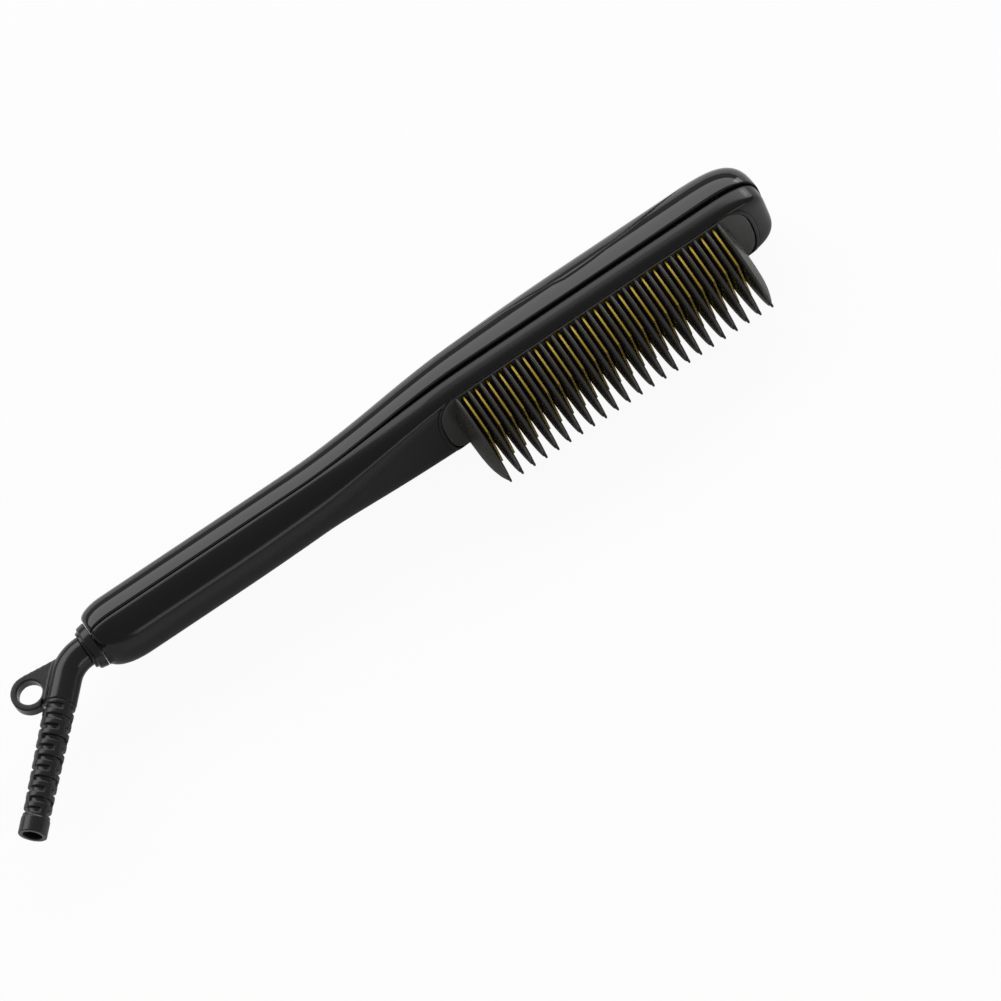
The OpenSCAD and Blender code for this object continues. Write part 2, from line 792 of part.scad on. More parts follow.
module bend() {
    translate([corner_x + bend_reach, -bend_r, 0]) rotate([0, 0, 90])
        rotate_extrude(angle = bend_angle, $fn = 96) translate([bend_r, 0]) difference() {
            circle(r = elbow_r, $fn = 64);
            circle(r = lead_bore_r, $fn = 48);
        }
}

// The straight ends are slimmer than the bend by this much, wider inside, and reach into it
bend_step = 0.04;
bend_lap = 0.3;
run_r = elbow_r - bend_step;
run_bore_r = lead_bore_r + bend_step;

// The stem from the bend to its inner end, turned as one piece about the swivel's axis
module stem() {
    foot = corner_x + bend_reach - bend_lap;
    step = -collar_gap - collar_len;
    groove_r = stem_r - clip_groove;
    translate([foot, 0, 0]) rotate([0, 90, 0]) rotate_extrude($fn = 96) polygon([
        [run_bore_r, 0], [run_r, 0], [run_r, step - foot], [stem_r, step - foot],
        [stem_r, clip_x - foot], [groove_r, clip_x - foot], [groove_r, clip_x + clip_t - foot],
        [stem_r, clip_x + clip_t - foot], [stem_r, stem_end - foot], [run_bore_r, stem_end - foot]]);
}

// The straight run after the bend with the spigot that holds the strain relief
module run_and_spigot() {
    along_relief(bend_reach) rotate_extrude($fn = 96) polygon([
        [run_bore_r, -bend_lap], [run_r, -bend_lap], [run_r, elbow_run], [spigot_r, elbow_run],
        [spigot_r, elbow_run + spigot_len], [run_bore_r, elbow_run + spigot_len]]);
}

// The tab stops short of the strain relief, which starts where the smooth tube ends
tab_end_gap = 0.2;
tab_root_r = 0.6;

module tab_outline() {
    tab_end = bend_reach + elbow_run - tab_end_gap;
    translate([corner_x, 0]) rotate([0, 0, bend_angle]) difference() {
        hull() {
            translate([-tab_along, tab_off]) circle(r = tab_hole_r + tab_rim, $fn = 48);
            translate([-tab_end + 2 * tab_root_r, elbow_r - 1.6]) circle(r = tab_root_r, $fn = 16);
            translate([0.5, elbow_r - 2]) circle(r = tab_root_r, $fn = 16);
        }
        translate([-tab_end - tab_off, 0]) square([tab_off, relief_r0 + relief_gap]);
    }
}

module hanging_tab() {
    difference() {
        translate([0, 0, -tab_t / 2]) linear_extrude(tab_t) tab_outline();
        along_relief(tab_along) translate([0, tab_off, 0]) rotate([0, 90, 0])
            cylinder(h = 2 * tab_t, r = tab_hole_r, center = true, $fn = 64);
    }
}

module cord_elbow() {
    color([0.1, 0.1, 0.1]) place() union() {
        union() {
            stem();
            bend();
            run_and_spigot();
        }
        hanging_tab();
    }
}

slot_levels = 1 + floor((relief_len - end_ring_len - slot_w - slot_start) / slot_pitch);

// A slot all round the sleeve, but for two ribs that stand at 45 degrees, turned over from level to level
module ring_slot(i) {
    translate([0, 0, slot_start + i * slot_pitch]) difference() {
        cylinder(h = slot_w, r = elbow_r + 2, $fn = 64);
        translate([0, 0, -1]) cylinder(h = slot_w + 2, r = slot_depth_r(i), $fn = 64);
        rotate([0, 0, i % 2 == 0 ? -45 : 45])
            translate([-elbow_r - 3, -rib_w / 2, -1]) cube([2 * elbow_r + 6, rib_w, slot_w + 2]);
    }
}

module strain_relief() {
    color([0.12, 0.12, 0.12]) place() along_relief(bend_reach + elbow_run) difference() {
        union() {
            cylinder(h = relief_len - end_ring_len + 0.1, r1 = relief_r0, r2 = relief_r1, $fn = 64);
            translate([0, 0, relief_len - end_ring_len])
                cylinder(h = end_ring_len, r = relief_r1 + end_ring_out, $fn = 64);
        }
        translate([0, 0, -1]) cylinder(h = relief_len + 2, r = cord_r, $fn = 64);
        translate([0, 0, -1]) cylinder(h = spigot_len + 1.2, r = spigot_r + 0.03, $fn = 64);
        for (i = [0 : slot_levels - 1]) {
            ring_slot(i);
        }
    }
}

// Distance of a slot's floor from the middle line: more over the spigot, less past it
function slot_depth_r(i) =
    slot_start + i * slot_pitch < spigot_len + 0.5 ? spigot_r + 0.03 + slot_floor : cord_r + slot_floor;

module retaining_clip() {
    color([0.75, 0.75, 0.77]) place() difference() {
        rod_x(clip_x, clip_x + clip_t, stem_r + 1.8);
        rod_x(clip_x - 1, clip_x + 2, stem_r - clip_groove + 0.02);
        block([clip_x - 1, clip_x + 2], [-8, 0], [-1.6, 1.6]);
    }
}

module slip_rings() {
    color([0.85, 0.65, 0.3]) place() for (x = ring_places) {
        difference() {
            rod_x(x, x + ring_w, stem_r + ring_t);
            rod_x(x - 1, x + ring_w + 1, stem_r + 0.02);
        }
    }
}

module contact_block() {
    color([0.85, 0.85, 0.8]) place() bar(contact_x, [contact_y, contact_y + contact_t], contact_half_w);
}

module contact_springs() {
    color([0.8, 0.5, 0.25]) place() for (i = [0, 1]) {
        x = ring_places[i];
        z = i == 0 ? -2.4 : 1.2;
        top = -stem_r - ring_t - 0.1;
        bend_z = i == 0 ? z + 0.9 : z;
        width = [x + 0.3, x + ring_w - 0.3];
        block(width, [contact_y + contact_t, contact_y + contact_t + 0.3], [z, z + 1.2]);
        block(width, [contact_y + contact_t + 0.3, top], [bend_z, bend_z + 0.3]);
        block(width, [top - 0.3, top], [min(z + 0.9, -1), max(z, 1)]);
    }
}

back_shell();
leaf_panel();
lower_shell();
comb_plate();
comb_teeth();
heater_base();
heater_fins();
heating_elements();
heater_insulator();
heater_clamp();
thermal_fuse();
thermistor();
housing_screws();
power_button();
switch_plunger();
switch_body();
circuit_board();
board_parts();
board_screws();
heater_leads();
cord_leads();
swivel_bush();
swivel_collar();
cord_elbow();
strain_relief();
retaining_clip();
slip_rings();
contact_block();
contact_springs();
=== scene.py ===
# %% [markdown]
# # Dressing a heated comb
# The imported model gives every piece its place. This lesson builds the visible skins again with finer
# surfaces, rounded edges, seams and grooves, and gives each material its own small nodes. The object
# lies on its side: +X runs to the head, +Y to the glossy back, and the teeth point to -Y.

# %% Load the frame
import json
import math

import bmesh
import bpy
import numpy as np
from mathutils import Matrix, Vector
from mathutils.geometry import convex_hull_2d


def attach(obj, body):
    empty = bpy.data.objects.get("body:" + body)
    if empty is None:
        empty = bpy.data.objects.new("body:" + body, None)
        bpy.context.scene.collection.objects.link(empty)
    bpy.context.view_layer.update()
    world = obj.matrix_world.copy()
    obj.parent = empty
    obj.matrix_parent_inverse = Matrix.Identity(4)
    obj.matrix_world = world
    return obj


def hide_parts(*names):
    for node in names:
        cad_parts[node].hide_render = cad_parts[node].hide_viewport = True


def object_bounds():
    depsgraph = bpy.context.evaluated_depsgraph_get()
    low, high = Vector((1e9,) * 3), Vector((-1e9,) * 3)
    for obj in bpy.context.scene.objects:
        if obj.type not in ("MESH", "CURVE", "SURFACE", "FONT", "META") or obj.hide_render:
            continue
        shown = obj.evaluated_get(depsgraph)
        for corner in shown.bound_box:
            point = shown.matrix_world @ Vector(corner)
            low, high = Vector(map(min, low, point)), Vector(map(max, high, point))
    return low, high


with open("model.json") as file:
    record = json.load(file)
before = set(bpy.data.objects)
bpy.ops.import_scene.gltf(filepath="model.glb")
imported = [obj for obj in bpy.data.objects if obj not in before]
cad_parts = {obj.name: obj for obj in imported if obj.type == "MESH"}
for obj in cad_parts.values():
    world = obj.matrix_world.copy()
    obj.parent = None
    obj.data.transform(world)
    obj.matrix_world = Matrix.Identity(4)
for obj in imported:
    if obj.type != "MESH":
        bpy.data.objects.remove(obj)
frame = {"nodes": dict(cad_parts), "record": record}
CAD_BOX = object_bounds()
print("nodes", len(frame["nodes"]), "box", [[round(v, 4) for v in corner] for corner in CAD_BOX])

# %% [markdown]
# ## A ruler for the body
# The body is easiest to describe on its own axis: millimetres from the tail end, with the parting line
# near y = 0 and the middle plane at z = 0. One function carries such points into the frame. The two
# shells end at the highest X of the model, and the back's crest is its highest Y, so the ruler is read
# off the box.

# %% The ruler
BODY_LEN = 225.0
HEAD_HALF_W = 15.6
CREST_Y = 14.6
MM = 1000
ORIGIN = np.array([BODY_LEN - CAD_BOX[1][0] * MM, CREST_Y - CAD_BOX[1][1] * MM, -HEAD_HALF_W])


def to_frame(points):
    """Millimetres on the body's own axis become metres in the frame."""
    return (np.asarray(points, float) - ORIGIN) / MM


print("the body's origin lies at", to_frame([0, 0, 0]).round(5))

# %% [markdown]
# ## The outline of the body
# A moulded handle is drawn as a row of cross-sections. Here each is a superellipse, whose half width
# and height change smoothly from the handle through the neck to the head, and close at both ends.

# %% Widths and heights along the body
NECK_START, NECK_LEN = 70.0, 58.0
HANDLE_HALF_W = 10.0
HANDLE_PARTING, HEAD_PARTING = -0.2, 1.0
HANDLE_BACK_H, HEAD_BACK_H, BACK_LEAD = 10.2, 13.6, 95.0
HANDLE_LOW_H, HEAD_LOW_H, LOW_START, LOW_LEAD = 9.4, 7.0, 42.0, 95.0
HANDLE_STEP_IN = 0.1
STEP_IN, LOW_SHORT = 1.2, 0.5          # how far the lower shell stays inside the back: sides, end
NOSE_LEN = 22.0
NOSE_W_POWER, NOSE_BACK_POWER, NOSE_LOW_POWER = 3.8, 3.5, 5.0
TAIL_LEN, TAIL_DEPTH = 8.0, 2.7
LOW_TAIL_LEN, LOW_TAIL_DEPTH = 12.0, 5.0
DOME_POWER = 2.3
HANDLE_LOW_POWER, HEAD_LOW_POWER = 2.6, 8.0


def mix(a, b, t):
    return a + (b - a) * t


def smooth(t):
    u = np.clip(t, 0, 1)
    return u * u * (3 - 2 * u)


def superellipse(t, power):
    return np.maximum(0, 1 - np.clip(t, 0, 1) ** power) ** (1 / power)


def neck(x):
    return smooth((x - NECK_START) / NECK_LEN)


def parting(x):
    return mix(HANDLE_PARTING, HEAD_PARTING, neck(x))


def nose(x, power, short=0.0):
    return superellipse((x - BODY_LEN + NOSE_LEN) / (NOSE_LEN - short), power)


def corner(x, length=TAIL_LEN, depth=TAIL_DEPTH):
    t = np.clip(1 - x / length, 0, 1)
    return depth * (1 - np.sqrt(1 - t * t))


def half_w(x):
    return mix(HANDLE_HALF_W, HEAD_HALF_W, neck(x)) * nose(x, NOSE_W_POWER) - corner(x)


def back_h(x):
    rising = smooth((x - NECK_START) / BACK_LEAD)
    return mix(HANDLE_BACK_H, HEAD_BACK_H, rising) * nose(x, NOSE_BACK_POWER) - corner(x)


def low_wide(x):
    """The lower shell's half width before its ends close."""
    return mix(HANDLE_HALF_W, HEAD_HALF_W, neck(x)) - mix(HANDLE_STEP_IN, STEP_IN, neck(x))


def low_half_w(x):
    return low_wide(x) * nose(x, NOSE_W_POWER, LOW_SHORT) - corner(x)


def low_h(x):
    deep = mix(HANDLE_LOW_H, HEAD_LOW_H, smooth((x - LOW_START) / LOW_LEAD))
    return deep * nose(x, NOSE_LOW_POWER, LOW_SHORT) - corner(x, LOW_TAIL_LEN, LOW_TAIL_DEPTH)


def low_power(x):
    return mix(HANDLE_LOW_POWER, HEAD_LOW_POWER, neck(x))


print("half width of handle and head", half_w(40.0), half_w(165.0))

# %% [markdown]
# ## Points on the two surfaces
# `dome` and `belly` turn a place along the body and an angle round it into a point: the angle is 0 at
# the parting line and 90 degrees at the middle of the back or of the underside. `outward` gives the
# surface's direction there, so that grooves and rims can be cut square to it and keep their width on
# the curve.

# %% Dome, belly and their directions
BOSS_LEN, BOSS_R = 2.4, 7.08
NEAR_CREST = math.pi / 2 - 0.003


def dome(x, angle):
    c, s = np.cos(angle), np.sin(angle)
    width = half_w(x) * np.sign(c) * np.abs(c) ** (2 / DOME_POWER)
    return np.stack([x + 0 * angle, parting(x) + back_h(x) * s ** (2 / DOME_POWER), width], -1)


def belly(x, angle):
    c, s = np.cos(angle), np.sin(angle)
    power = low_power(x)
    width = low_half_w(x) * np.sign(c) * np.abs(c) ** (2 / power)
    level = parting(x) - low_h(x) * s ** (2 / power)
    boss = np.where(x < BOSS_LEN, BOSS_R / np.maximum(np.hypot(width, level), 1e-6), 0)
    grow = np.maximum(1, boss)
    return np.stack([x + 0 * angle, level * grow, width * grow], -1)


def unit(v):
    return v / np.maximum(np.linalg.norm(v, axis=-1, keepdims=True), 1e-12)


def outward(surface, x, angle):
    """The surface's outward direction, from small steps along it."""
    dx, da = 0.02, 0.002
    lo, hi = np.clip(angle - da, 0.0005, None), angle + da
    along = surface(x + dx, angle) - surface(x - dx, angle)
    around = surface(x, hi) - surface(x, lo)
    n = unit(np.cross(along, around))
    up = 1 if surface is dome else -1
    return n * np.where(n[..., 1:2] * up < 0, -1, 1)


def angle_at(surface, x, z):
    """The angle at which a surface is z away from the middle plane."""
    if surface is dome:
        half, power = half_w(x), DOME_POWER
    else:
        half, power = low_half_w(x), low_power(x)
    return np.arccos(np.clip(np.abs(z) / np.maximum(half, 1e-6), 0, 1) ** (power / 2))


print("crest of the head", dome(np.array(165.0), np.array(math.pi / 2)).round(2))

# %% [markdown]
# ## From grids of points to meshes
# Most pieces here are sheets: rows of points that are joined into four-sided faces. `Sheets` collects
# several of them, welds shared edges and makes one smooth-shaded object that rides on a CAD body.

# %% Sheets
class Sheets:
    def __init__(self):
        self.verts, self.faces = [], []

    def add(self, points, closed=False, mirror=False, flip=False):
        """points is rows x columns x 3, in body millimetres."""
        points = np.asarray(points, float)
        rows, cols = points.shape[:2]
        start = len(self.verts)
        self.verts.extend(map(tuple, points.reshape(-1, 3)))
        for i in range(rows - 1):
            for j in range(cols if closed else cols - 1):
                a, b = start + i * cols + j, start + i * cols + (j + 1) % cols
                quad = (a, b, b + cols, a + cols)
                self.faces.append(quad[::-1] if flip else quad)
        if mirror:
            self.add(points * [1, 1, -1], closed, False, not flip)

    def cap(self, loop, flip=False):
        start = len(self.verts)
        self.verts.extend(map(tuple, loop))
        face = tuple(range(start, start + len(loop)))
        self.faces.append(face[::-1] if flip else face)

    def solid(self, rings):
        """A closed body: rings of points, with a cap on the first and on the last."""
        self.add(np.array(rings), closed=True)
        self.cap(rings[0])
        self.cap(rings[-1], flip=True)

    def build(self, name, weld=2e-6, sharp=35):
        mesh = bpy.data.meshes.new(name)
        mesh.from_pydata([tuple(p) for p in to_frame(self.verts)], [], self.faces)
        bm = bmesh.new()
        bm.from_mesh(mesh)
        bmesh.ops.remove_doubles(bm, verts=bm.verts, dist=weld)
        bmesh.ops.dissolve_degenerate(bm, edges=bm.edges, dist=1e-7)
        bmesh.ops.recalc_face_normals(bm, faces=bm.faces)
        bm.to_mesh(mesh)
        bm.free()
        mesh.polygons.foreach_set("use_smooth", [True] * len(mesh.polygons))
        mesh.set_sharp_from_angle(angle=math.radians(sharp))
        obj = bpy.data.objects.new(name, mesh)
        bpy.context.scene.collection.objects.link(obj)
        return obj


def settle(obj, body, slot, material, *nodes):
    """Gives a piece its finish and its body, and hides the CAD nodes that it stands for."""
    obj.data.materials.clear()
    obj.data.materials.append(material)
    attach(obj, body)
    if nodes:
        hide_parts(*nodes)
    print(obj.name, len(obj.data.polygons), "faces")
    return obj


# %% [markdown]
# ## Finishes
# Every finish starts from one Principled shader. A helper mixes two near tones by a noise, so that no
# surface is one flat colour, varies the roughness by another noise, and lifts a fine grain with a bump.
# Noise scales are in waves per metre, because the object is a quarter of a metre long.

# %% A helper for moulded and metal finishes
BLOTCH = 60
GRAIN_DEPTH = 0.00003


def finish(name, dark, light, rough=(0.3, 0.4), grain=2500, bump=0.1, metallic=0.0, sheen=0.0,
           stretch=(1, 1, 1), specular=0.5):
    material = bpy.data.materials.new(name)
    material.use_nodes = True
    nodes, links = material.node_tree.nodes, material.node_tree.links
    shader = nodes["Principled BSDF"]
    shader.inputs["Metallic"].default_value = metallic
    shader.inputs["Sheen Weight"].default_value = sheen
    shader.inputs["Specular IOR Level"].default_value = specular
    place = nodes.new("ShaderNodeTexCoord")
    spread = nodes.new("ShaderNodeMapping")
    spread.inputs["Scale"].default_value = stretch
    links.new(place.outputs["Object"], spread.inputs["Vector"])

    def noise(scale, detail):
        node = nodes.new("ShaderNodeTexNoise")
        node.inputs["Scale"].default_value = scale
        node.inputs["Detail"].default_value = detail
        links.new(spread.outputs["Vector"], node.inputs["Vector"])
        return node

    patches, fine = noise(BLOTCH, 3), noise(grain, 2)
    tones = nodes.new("ShaderNodeMix")
    tones.data_type = "RGBA"
    tones.inputs[6].default_value = (*dark, 1)
    tones.inputs[7].default_value = (*light, 1)
    links.new(patches.outputs["Fac"], tones.inputs[0])
    links.new(tones.outputs[2], shader.inputs["Base Color"])
    span = nodes.new("ShaderNodeMapRange")
    span.inputs["To Min"].default_value, span.inputs["To Max"].default_value = rough
    links.new(fine.outputs["Fac"], span.inputs["Value"])
    links.new(span.outputs["Result"], shader.inputs["Roughness"])
    relief = nodes.new("ShaderNodeBump")
    relief.inputs["Strength"].default_value = bump
    relief.inputs["Distance"].default_value = GRAIN_DEPTH
    links.new(fine.outputs["Fac"], relief.inputs["Height"])
    links.new(relief.outputs["Normal"], shader.inputs["Normal"])
    return material


# %% [markdown]
# The back is polished black plastic: almost no colour of its own, so all that shows is what it mirrors.
# The lower shell and the cord exit are the same black with a fine moulded grain, the comb is a shade
# lighter, and the sleeve is a softer rubber. The fins are anodised in a dull gold.

# %% The visible finishes
GLOSS = finish("gloss_black", (0.007, 0.007, 0.008), (0.011, 0.011, 0.012), rough=(0.06, 0.10),
               grain=900, bump=0.03)
LEAF = finish("gloss_leaf", (0.008, 0.008, 0.009), (0.013, 0.013, 0.014), rough=(0.07, 0.11),
              grain=900, bump=0.03)
SATIN = finish("satin_black", (0.006, 0.006, 0.006), (0.009, 0.009, 0.009), rough=(0.15, 0.21),
               grain=3200, bump=0.08, specular=0.4)
COMB = finish("comb_plastic", (0.040, 0.039, 0.036), (0.055, 0.054, 0.050), rough=(0.22, 0.30),
              grain=3000, bump=0.08)
GOLD = finish("golden", (0.56, 0.42, 0.05), (0.66, 0.50, 0.08), rough=(0.40, 0.52),
              grain=1400, bump=0.15, metallic=1.0, stretch=(1, 0.12, 1))
EXIT = finish("exit_black", (0.009, 0.009, 0.009), (0.014, 0.014, 0.014), rough=(0.16, 0.22),
              grain=2600, bump=0.08)
RUBBER = finish("soft_black", (0.010, 0.010, 0.010), (0.016, 0.016, 0.015), rough=(0.22, 0.30),
                grain=2800, bump=0.15, sheen=0.05)
CAP = finish("button_black", (0.030, 0.030, 0.032), (0.042, 0.042, 0.045), rough=(0.12, 0.18),
             grain=2000, bump=0.08)
print("finishes", len(bpy.data.materials))

# %% [markdown]
# ## Rows of the glossy back
# The back has one groove that outlines a long leaf. If every row of the mesh ends on the groove, the
# edge stays crisp with few faces. So the leaf's outline comes first, as points on the dome, then a
# point a little outside it, from which each row of the shell runs out to the parting line.

# %% The leaf's outline on the dome
LEAF_START, LEAF_PEAK, LEAF_END = 13.5, 165.0, 216.5
LEAF_SHARE, LEAF_RISE, LEAF_POWER = 0.95, 0.75, 2.4
LEAF_CROWDING = 1.5
WIDENS_FROM, WIDENS_OVER = 178.0, 24.0
SHELL_EDGE, LEAF_EDGE = 0.55, -0.45
GROOVE = [(SHELL_EDGE + 0.3, 0), (SHELL_EDGE + 0.1, 0.03), (SHELL_EDGE, 0.14), (SHELL_EDGE, 0.7),
          (LEAF_EDGE - 0.6, 0.75)]
HAIRLINE = [(SHELL_EDGE + 0.3, 0), (0.3, 0), (0.08, 0.03), (0.05, 0.7), (LEAF_EDGE - 0.6, 0.75)]
INLAY = [(LEAF_EDGE - 0.3, 0), (LEAF_EDGE - 0.1, 0.03), (LEAF_EDGE, 0.13), (LEAF_EDGE, 0.8)]
FINE_INLAY = [(LEAF_EDGE - 0.3, 0), (-0.3, 0), (-0.08, 0.03), (-0.05, 0.8)]


def leaf_half(x):
    rising = np.clip((x - LEAF_START) / (LEAF_PEAK - LEAF_START), 0, 1) ** LEAF_RISE
    ending = superellipse((x - LEAF_PEAK) / (LEAF_END - LEAF_PEAK), LEAF_POWER)
    return half_w(x) * LEAF_SHARE * rising * ending


def leaf_places(tail_count=150, head_count=70):
    s = np.linspace(0, 1, tail_count)
    e = np.linspace(0, 1, head_count + 1)[1:]
    return np.concatenate([LEAF_START + (LEAF_PEAK - LEAF_START) * s ** LEAF_CROWDING,
                           LEAF_PEAK + (LEAF_END - LEAF_PEAK) * (1 - (1 - e) ** LEAF_POWER)])


def edge_line(surface, x, z):
    """Points of an outline on a surface, with the directions outward of the surface and across the line."""
    angle = angle_at(surface, x, z)
    points = surface(x, angle)
    points[..., 2] = z
    normal = outward(surface, x, np.minimum(angle, NEAR_CREST))
    ahead = np.concatenate([points[1:], points[-2:-1] * [1, 1, -1]])
    behind = np.concatenate([points[1:2] * [1, 1, -1], points[:-1]])
    along = unit(ahead - behind)
    across = unit(np.cross(along, normal))
    across = np.where(across[:, 2:] < 0, -across, across)
    across[0] = [-1, 0, 0]
    across[-1] = [1, 0, 0]
    normal[[0, -1], 2] = 0
    return points, unit(normal), across


def profile(points, normal, across, steps, narrow=None, share=None):
    """Rows beside a line: each step is (distance across it, depth under the surface).
    Where share is less than 1 the rows fade towards a second, narrow list of steps."""
    if narrow is None:
        return np.stack([points + across * o - normal * d for o, d in steps], 1)
    k = np.asarray(share)[:, None]
    return np.stack([points + across * mix(a[0], b[0], k) - normal * mix(a[1], b[1], k)
                     for a, b in zip(narrow, steps)], 1)


leaf_x = leaf_places()
leaf_line = edge_line(dome, leaf_x, leaf_half(leaf_x))
groove_share = smooth((leaf_x - WIDENS_FROM) / WIDENS_OVER)
print("leaf outline", len(leaf_x), "points, widest", leaf_half(leaf_x).max().round(2))

# %% [markdown]
# ## The glossy back
# The shell's rows start at the groove, or at the crest where there is no groove, and end in a rounded
# rim at the parting line. The groove's wall and its floor are a strip along the outline. A flat tail
# end with a round opening closes it behind the collar.

# %% Build the back shell
ACROSS = 34
ROW_STEP, NOSE_CROWDING = 1.6, 2.9
SEAM_HALF = 0.1
HOLE_IN_TAIL, HOLE_DEPTH = 3.4, 2.0
TONGUE_INSET, TONGUE_HALF = 1.6, 0.7
RIM = [(0.0, 0.24), (0.04, 0.12), (0.14, 0.05), (0.4, 0.02), (1.4, 0.02)]


def spread_angles(top, bottom, count=ACROSS):
    s = np.linspace(0, 1, count + 1)
    return top[:, None] + (bottom - top)[:, None] * s


def rim_rows(x, side):
    """The rounded rim that turns in at the parting line.
    side is +1 for the back and -1 for the lower shell."""
    half = half_w(x) if side > 0 else low_half_w(x)
    return np.stack([np.stack([x, parting(x) + side * (SEAM_HALF + lift), np.maximum(half - inset, 0)], -1)
                     for inset, lift in RIM], 1)


def rim_angle(x, side):
    height = back_h(x) if side > 0 else low_h(x)
    power = DOME_POWER if side > 0 else low_power(x)
    lift = SEAM_HALF + RIM[0][1]
    return np.arcsin(np.clip(np.minimum(lift / np.maximum(height, 1e-6), 1) ** (power / 2), 0, 1))


def tail_places(until):
    turned_in = TAIL_LEN * (1 - np.cos(np.linspace(0, math.pi / 2, 18)[1:]))
    return np.concatenate([turned_in, np.linspace(TAIL_LEN, until, 4 + int(until / ROW_STEP))[1:]])


def nose_places(start, end, count=34):
    s = np.linspace(0, 1, count + 1)[1:]
    return end - (end - start) * (1 - s) ** NOSE_CROWDING


def shell_rows(surface, side, outline, end, first):
    """Rows of one half of a shell, from the groove or the middle to the rim."""
    points = outline[0] + outline[2] * np.reshape(first, (-1, 1))
    middle_x, middle_z = points[:, 0], np.maximum(points[:, 2], 0)
    middle_z[[0, -1]] = 0
    before, after = tail_places(middle_x[0])[:-1], nose_places(middle_x[-1], end)
    x = np.concatenate([[0.0], before, middle_x, after])
    z = np.concatenate([np.zeros(len(before) + 1), middle_z, np.zeros(len(after))])
    x[-1] = end - 1e-4
    top = angle_at(surface, x, z)
    low = np.minimum(rim_angle(x, side), top - 0.01)
    angles = spread_angles(top, low)
    body = surface(x[:, None] + 0 * angles, angles)
    rim = rim_rows(x, side)
    half = body[:, -1:, 2]
    rim[:, :, 2] = np.minimum(rim[:, :, 2], half)
    rim[:, 0] = body[:, -1]
    rows = np.concatenate([body, rim[:, 1:]], 1)
    closing = rows[-1:] * [1, 1, 0]
    return np.concatenate([rows, closing])


def tail_face(rows):
    """The flat end: from the first row in to the round opening, and a short way into it."""
    first = rows[0]
    spoke = unit(first[:, 1:])
    hole = np.concatenate([first[:, :1] * 0, spoke * HOLE_IN_TAIL], 1)
    return np.stack([first, mix(first, hole, 0.5), hole, hole + [HOLE_DEPTH, 0, 0]])


def tongue(start, end):
    """A band behind the joint of the two shells, so that no light falls through the gap."""
    x = np.concatenate([tail_places(start), nose_places(start, end)])
    line = np.stack([x, low_half_w(x)], -1)
    along = unit(np.gradient(line, axis=0))
    inside = line + np.stack([along[:, 1], -along[:, 0]], -1) * TONGUE_INSET
    x = np.clip(inside[:, 0], TONGUE_INSET, end - TONGUE_INSET)
    z = np.maximum(inside[:, 1], 0)
    return np.stack([np.stack([x, parting(x) + y, z], -1) for y in (TONGUE_HALF, -TONGUE_HALF)], 1)


sheets = Sheets()
back_rows = shell_rows(dome, 1, leaf_line, BODY_LEN, GROOVE[0][0])
sheets.add(back_rows, mirror=True)
sheets.add(profile(*leaf_line, GROOVE, HAIRLINE, groove_share), mirror=True)
sheets.add(tail_face(back_rows), mirror=True)
sheets.add(tongue(BODY_LEN - NOSE_LEN, BODY_LEN - LOW_SHORT - 0.01), mirror=True)
back = sheets.build("back_shell_gloss")
settle(back, "housing", "gloss_black", GLOSS, "back_shell")

# %% [markdown]
# ## The leaf panel
# The inlay follows the same dome, stops short of the groove with a rounded edge, and carries an oval
# dish round the button. A grid can't follow an oval, so a window is left out of the grid and filled
# with spokes that run from the oval to the window's edge.

# %% Build the leaf panel
BUTTON_X, BUTTON_A, BUTTON_B = 95.0, 5.75, 4.0
WINDOW = 9.6
DISH = [(2.1, 0.0), (1.75, 0.03), (1.5, 0.14), (1.2, 0.42), (0.8, 0.72), (0.5, 0.84), (0.34, 0.95),
        (0.3, 2.6)]


def dome_at(x, z, depth=0.0):
    """A point over (x, z) in plan, sunk by a depth square to the dome."""
    angle = angle_at(dome, x, z)
    p = dome(x, angle)
    p[..., 2] = z
    n = outward(dome, x, np.minimum(angle, NEAR_CREST))
    n = n * np.stack([np.ones_like(z), np.ones_like(z), np.sign(z)], -1)
    return p - n * np.asarray(depth)[..., None]


def oval(theta, grow):
    return BUTTON_X + (BUTTON_A + grow) * np.cos(theta), (BUTTON_B + grow) * np.sin(theta)


def leaf_sheets():
    sheets = Sheets()
    points = leaf_line[0] + leaf_line[2] * INLAY[0][0]
    x, z = points[:, 0], np.maximum(points[:, 2], 0)
    z[[0, -1]] = 0
    cols = 20
    span = np.linspace(-1, 1, 2 * cols + 1)
    edge = angle_at(dome, x, z)
    angle = math.pi / 2 - (math.pi / 2 - edge)[:, None] * np.abs(span)
    grid = dome(x[:, None] + 0 * angle, angle)
    grid[..., 2] *= np.sign(span)
    grid[:, cols, 2] = 0
    i0, i1 = np.searchsorted(x, BUTTON_X - WINDOW), np.searchsorted(x, BUTTON_X + WINDOW)
    j0, j1 = 1, 2 * cols - 1
    sheets.add(grid[:i0 + 1])
    sheets.add(grid[i1:])
    sheets.add(grid[i0:i1 + 1, :j0 + 1])
    sheets.add(grid[i0:i1 + 1, j1:])
    window = np.concatenate([grid[i0, j0:j1], grid[i0:i1, j1], grid[i1, j1:j0:-1], grid[i1:i0:-1, j0]])
    theta = np.arctan2(window[:, 2] / (BUTTON_B + 2), (window[:, 0] - BUTTON_X) / (BUTTON_A + 2))
    rings = [window]
    ox, oz = oval(theta, DISH[0][0])
    for s in np.linspace(0, 1, 10)[1:-1]:
        rings.append(dome_at(mix(window[:, 0], ox, s), mix(window[:, 2], oz, s)))
    for grow, depth in DISH:
        rings.append(dome_at(*oval(theta, grow), np.full(len(theta), depth)))
    sheets.add(np.stack(rings), closed=True)
    return sheets


sheets = leaf_sheets()
sheets.add(profile(*leaf_line, INLAY, FINE_INLAY, groove_share), mirror=True)
leaf = sheets.build("leaf_panel_gloss")
settle(leaf, "housing", "gloss_leaf", LEAF, "leaf_panel")

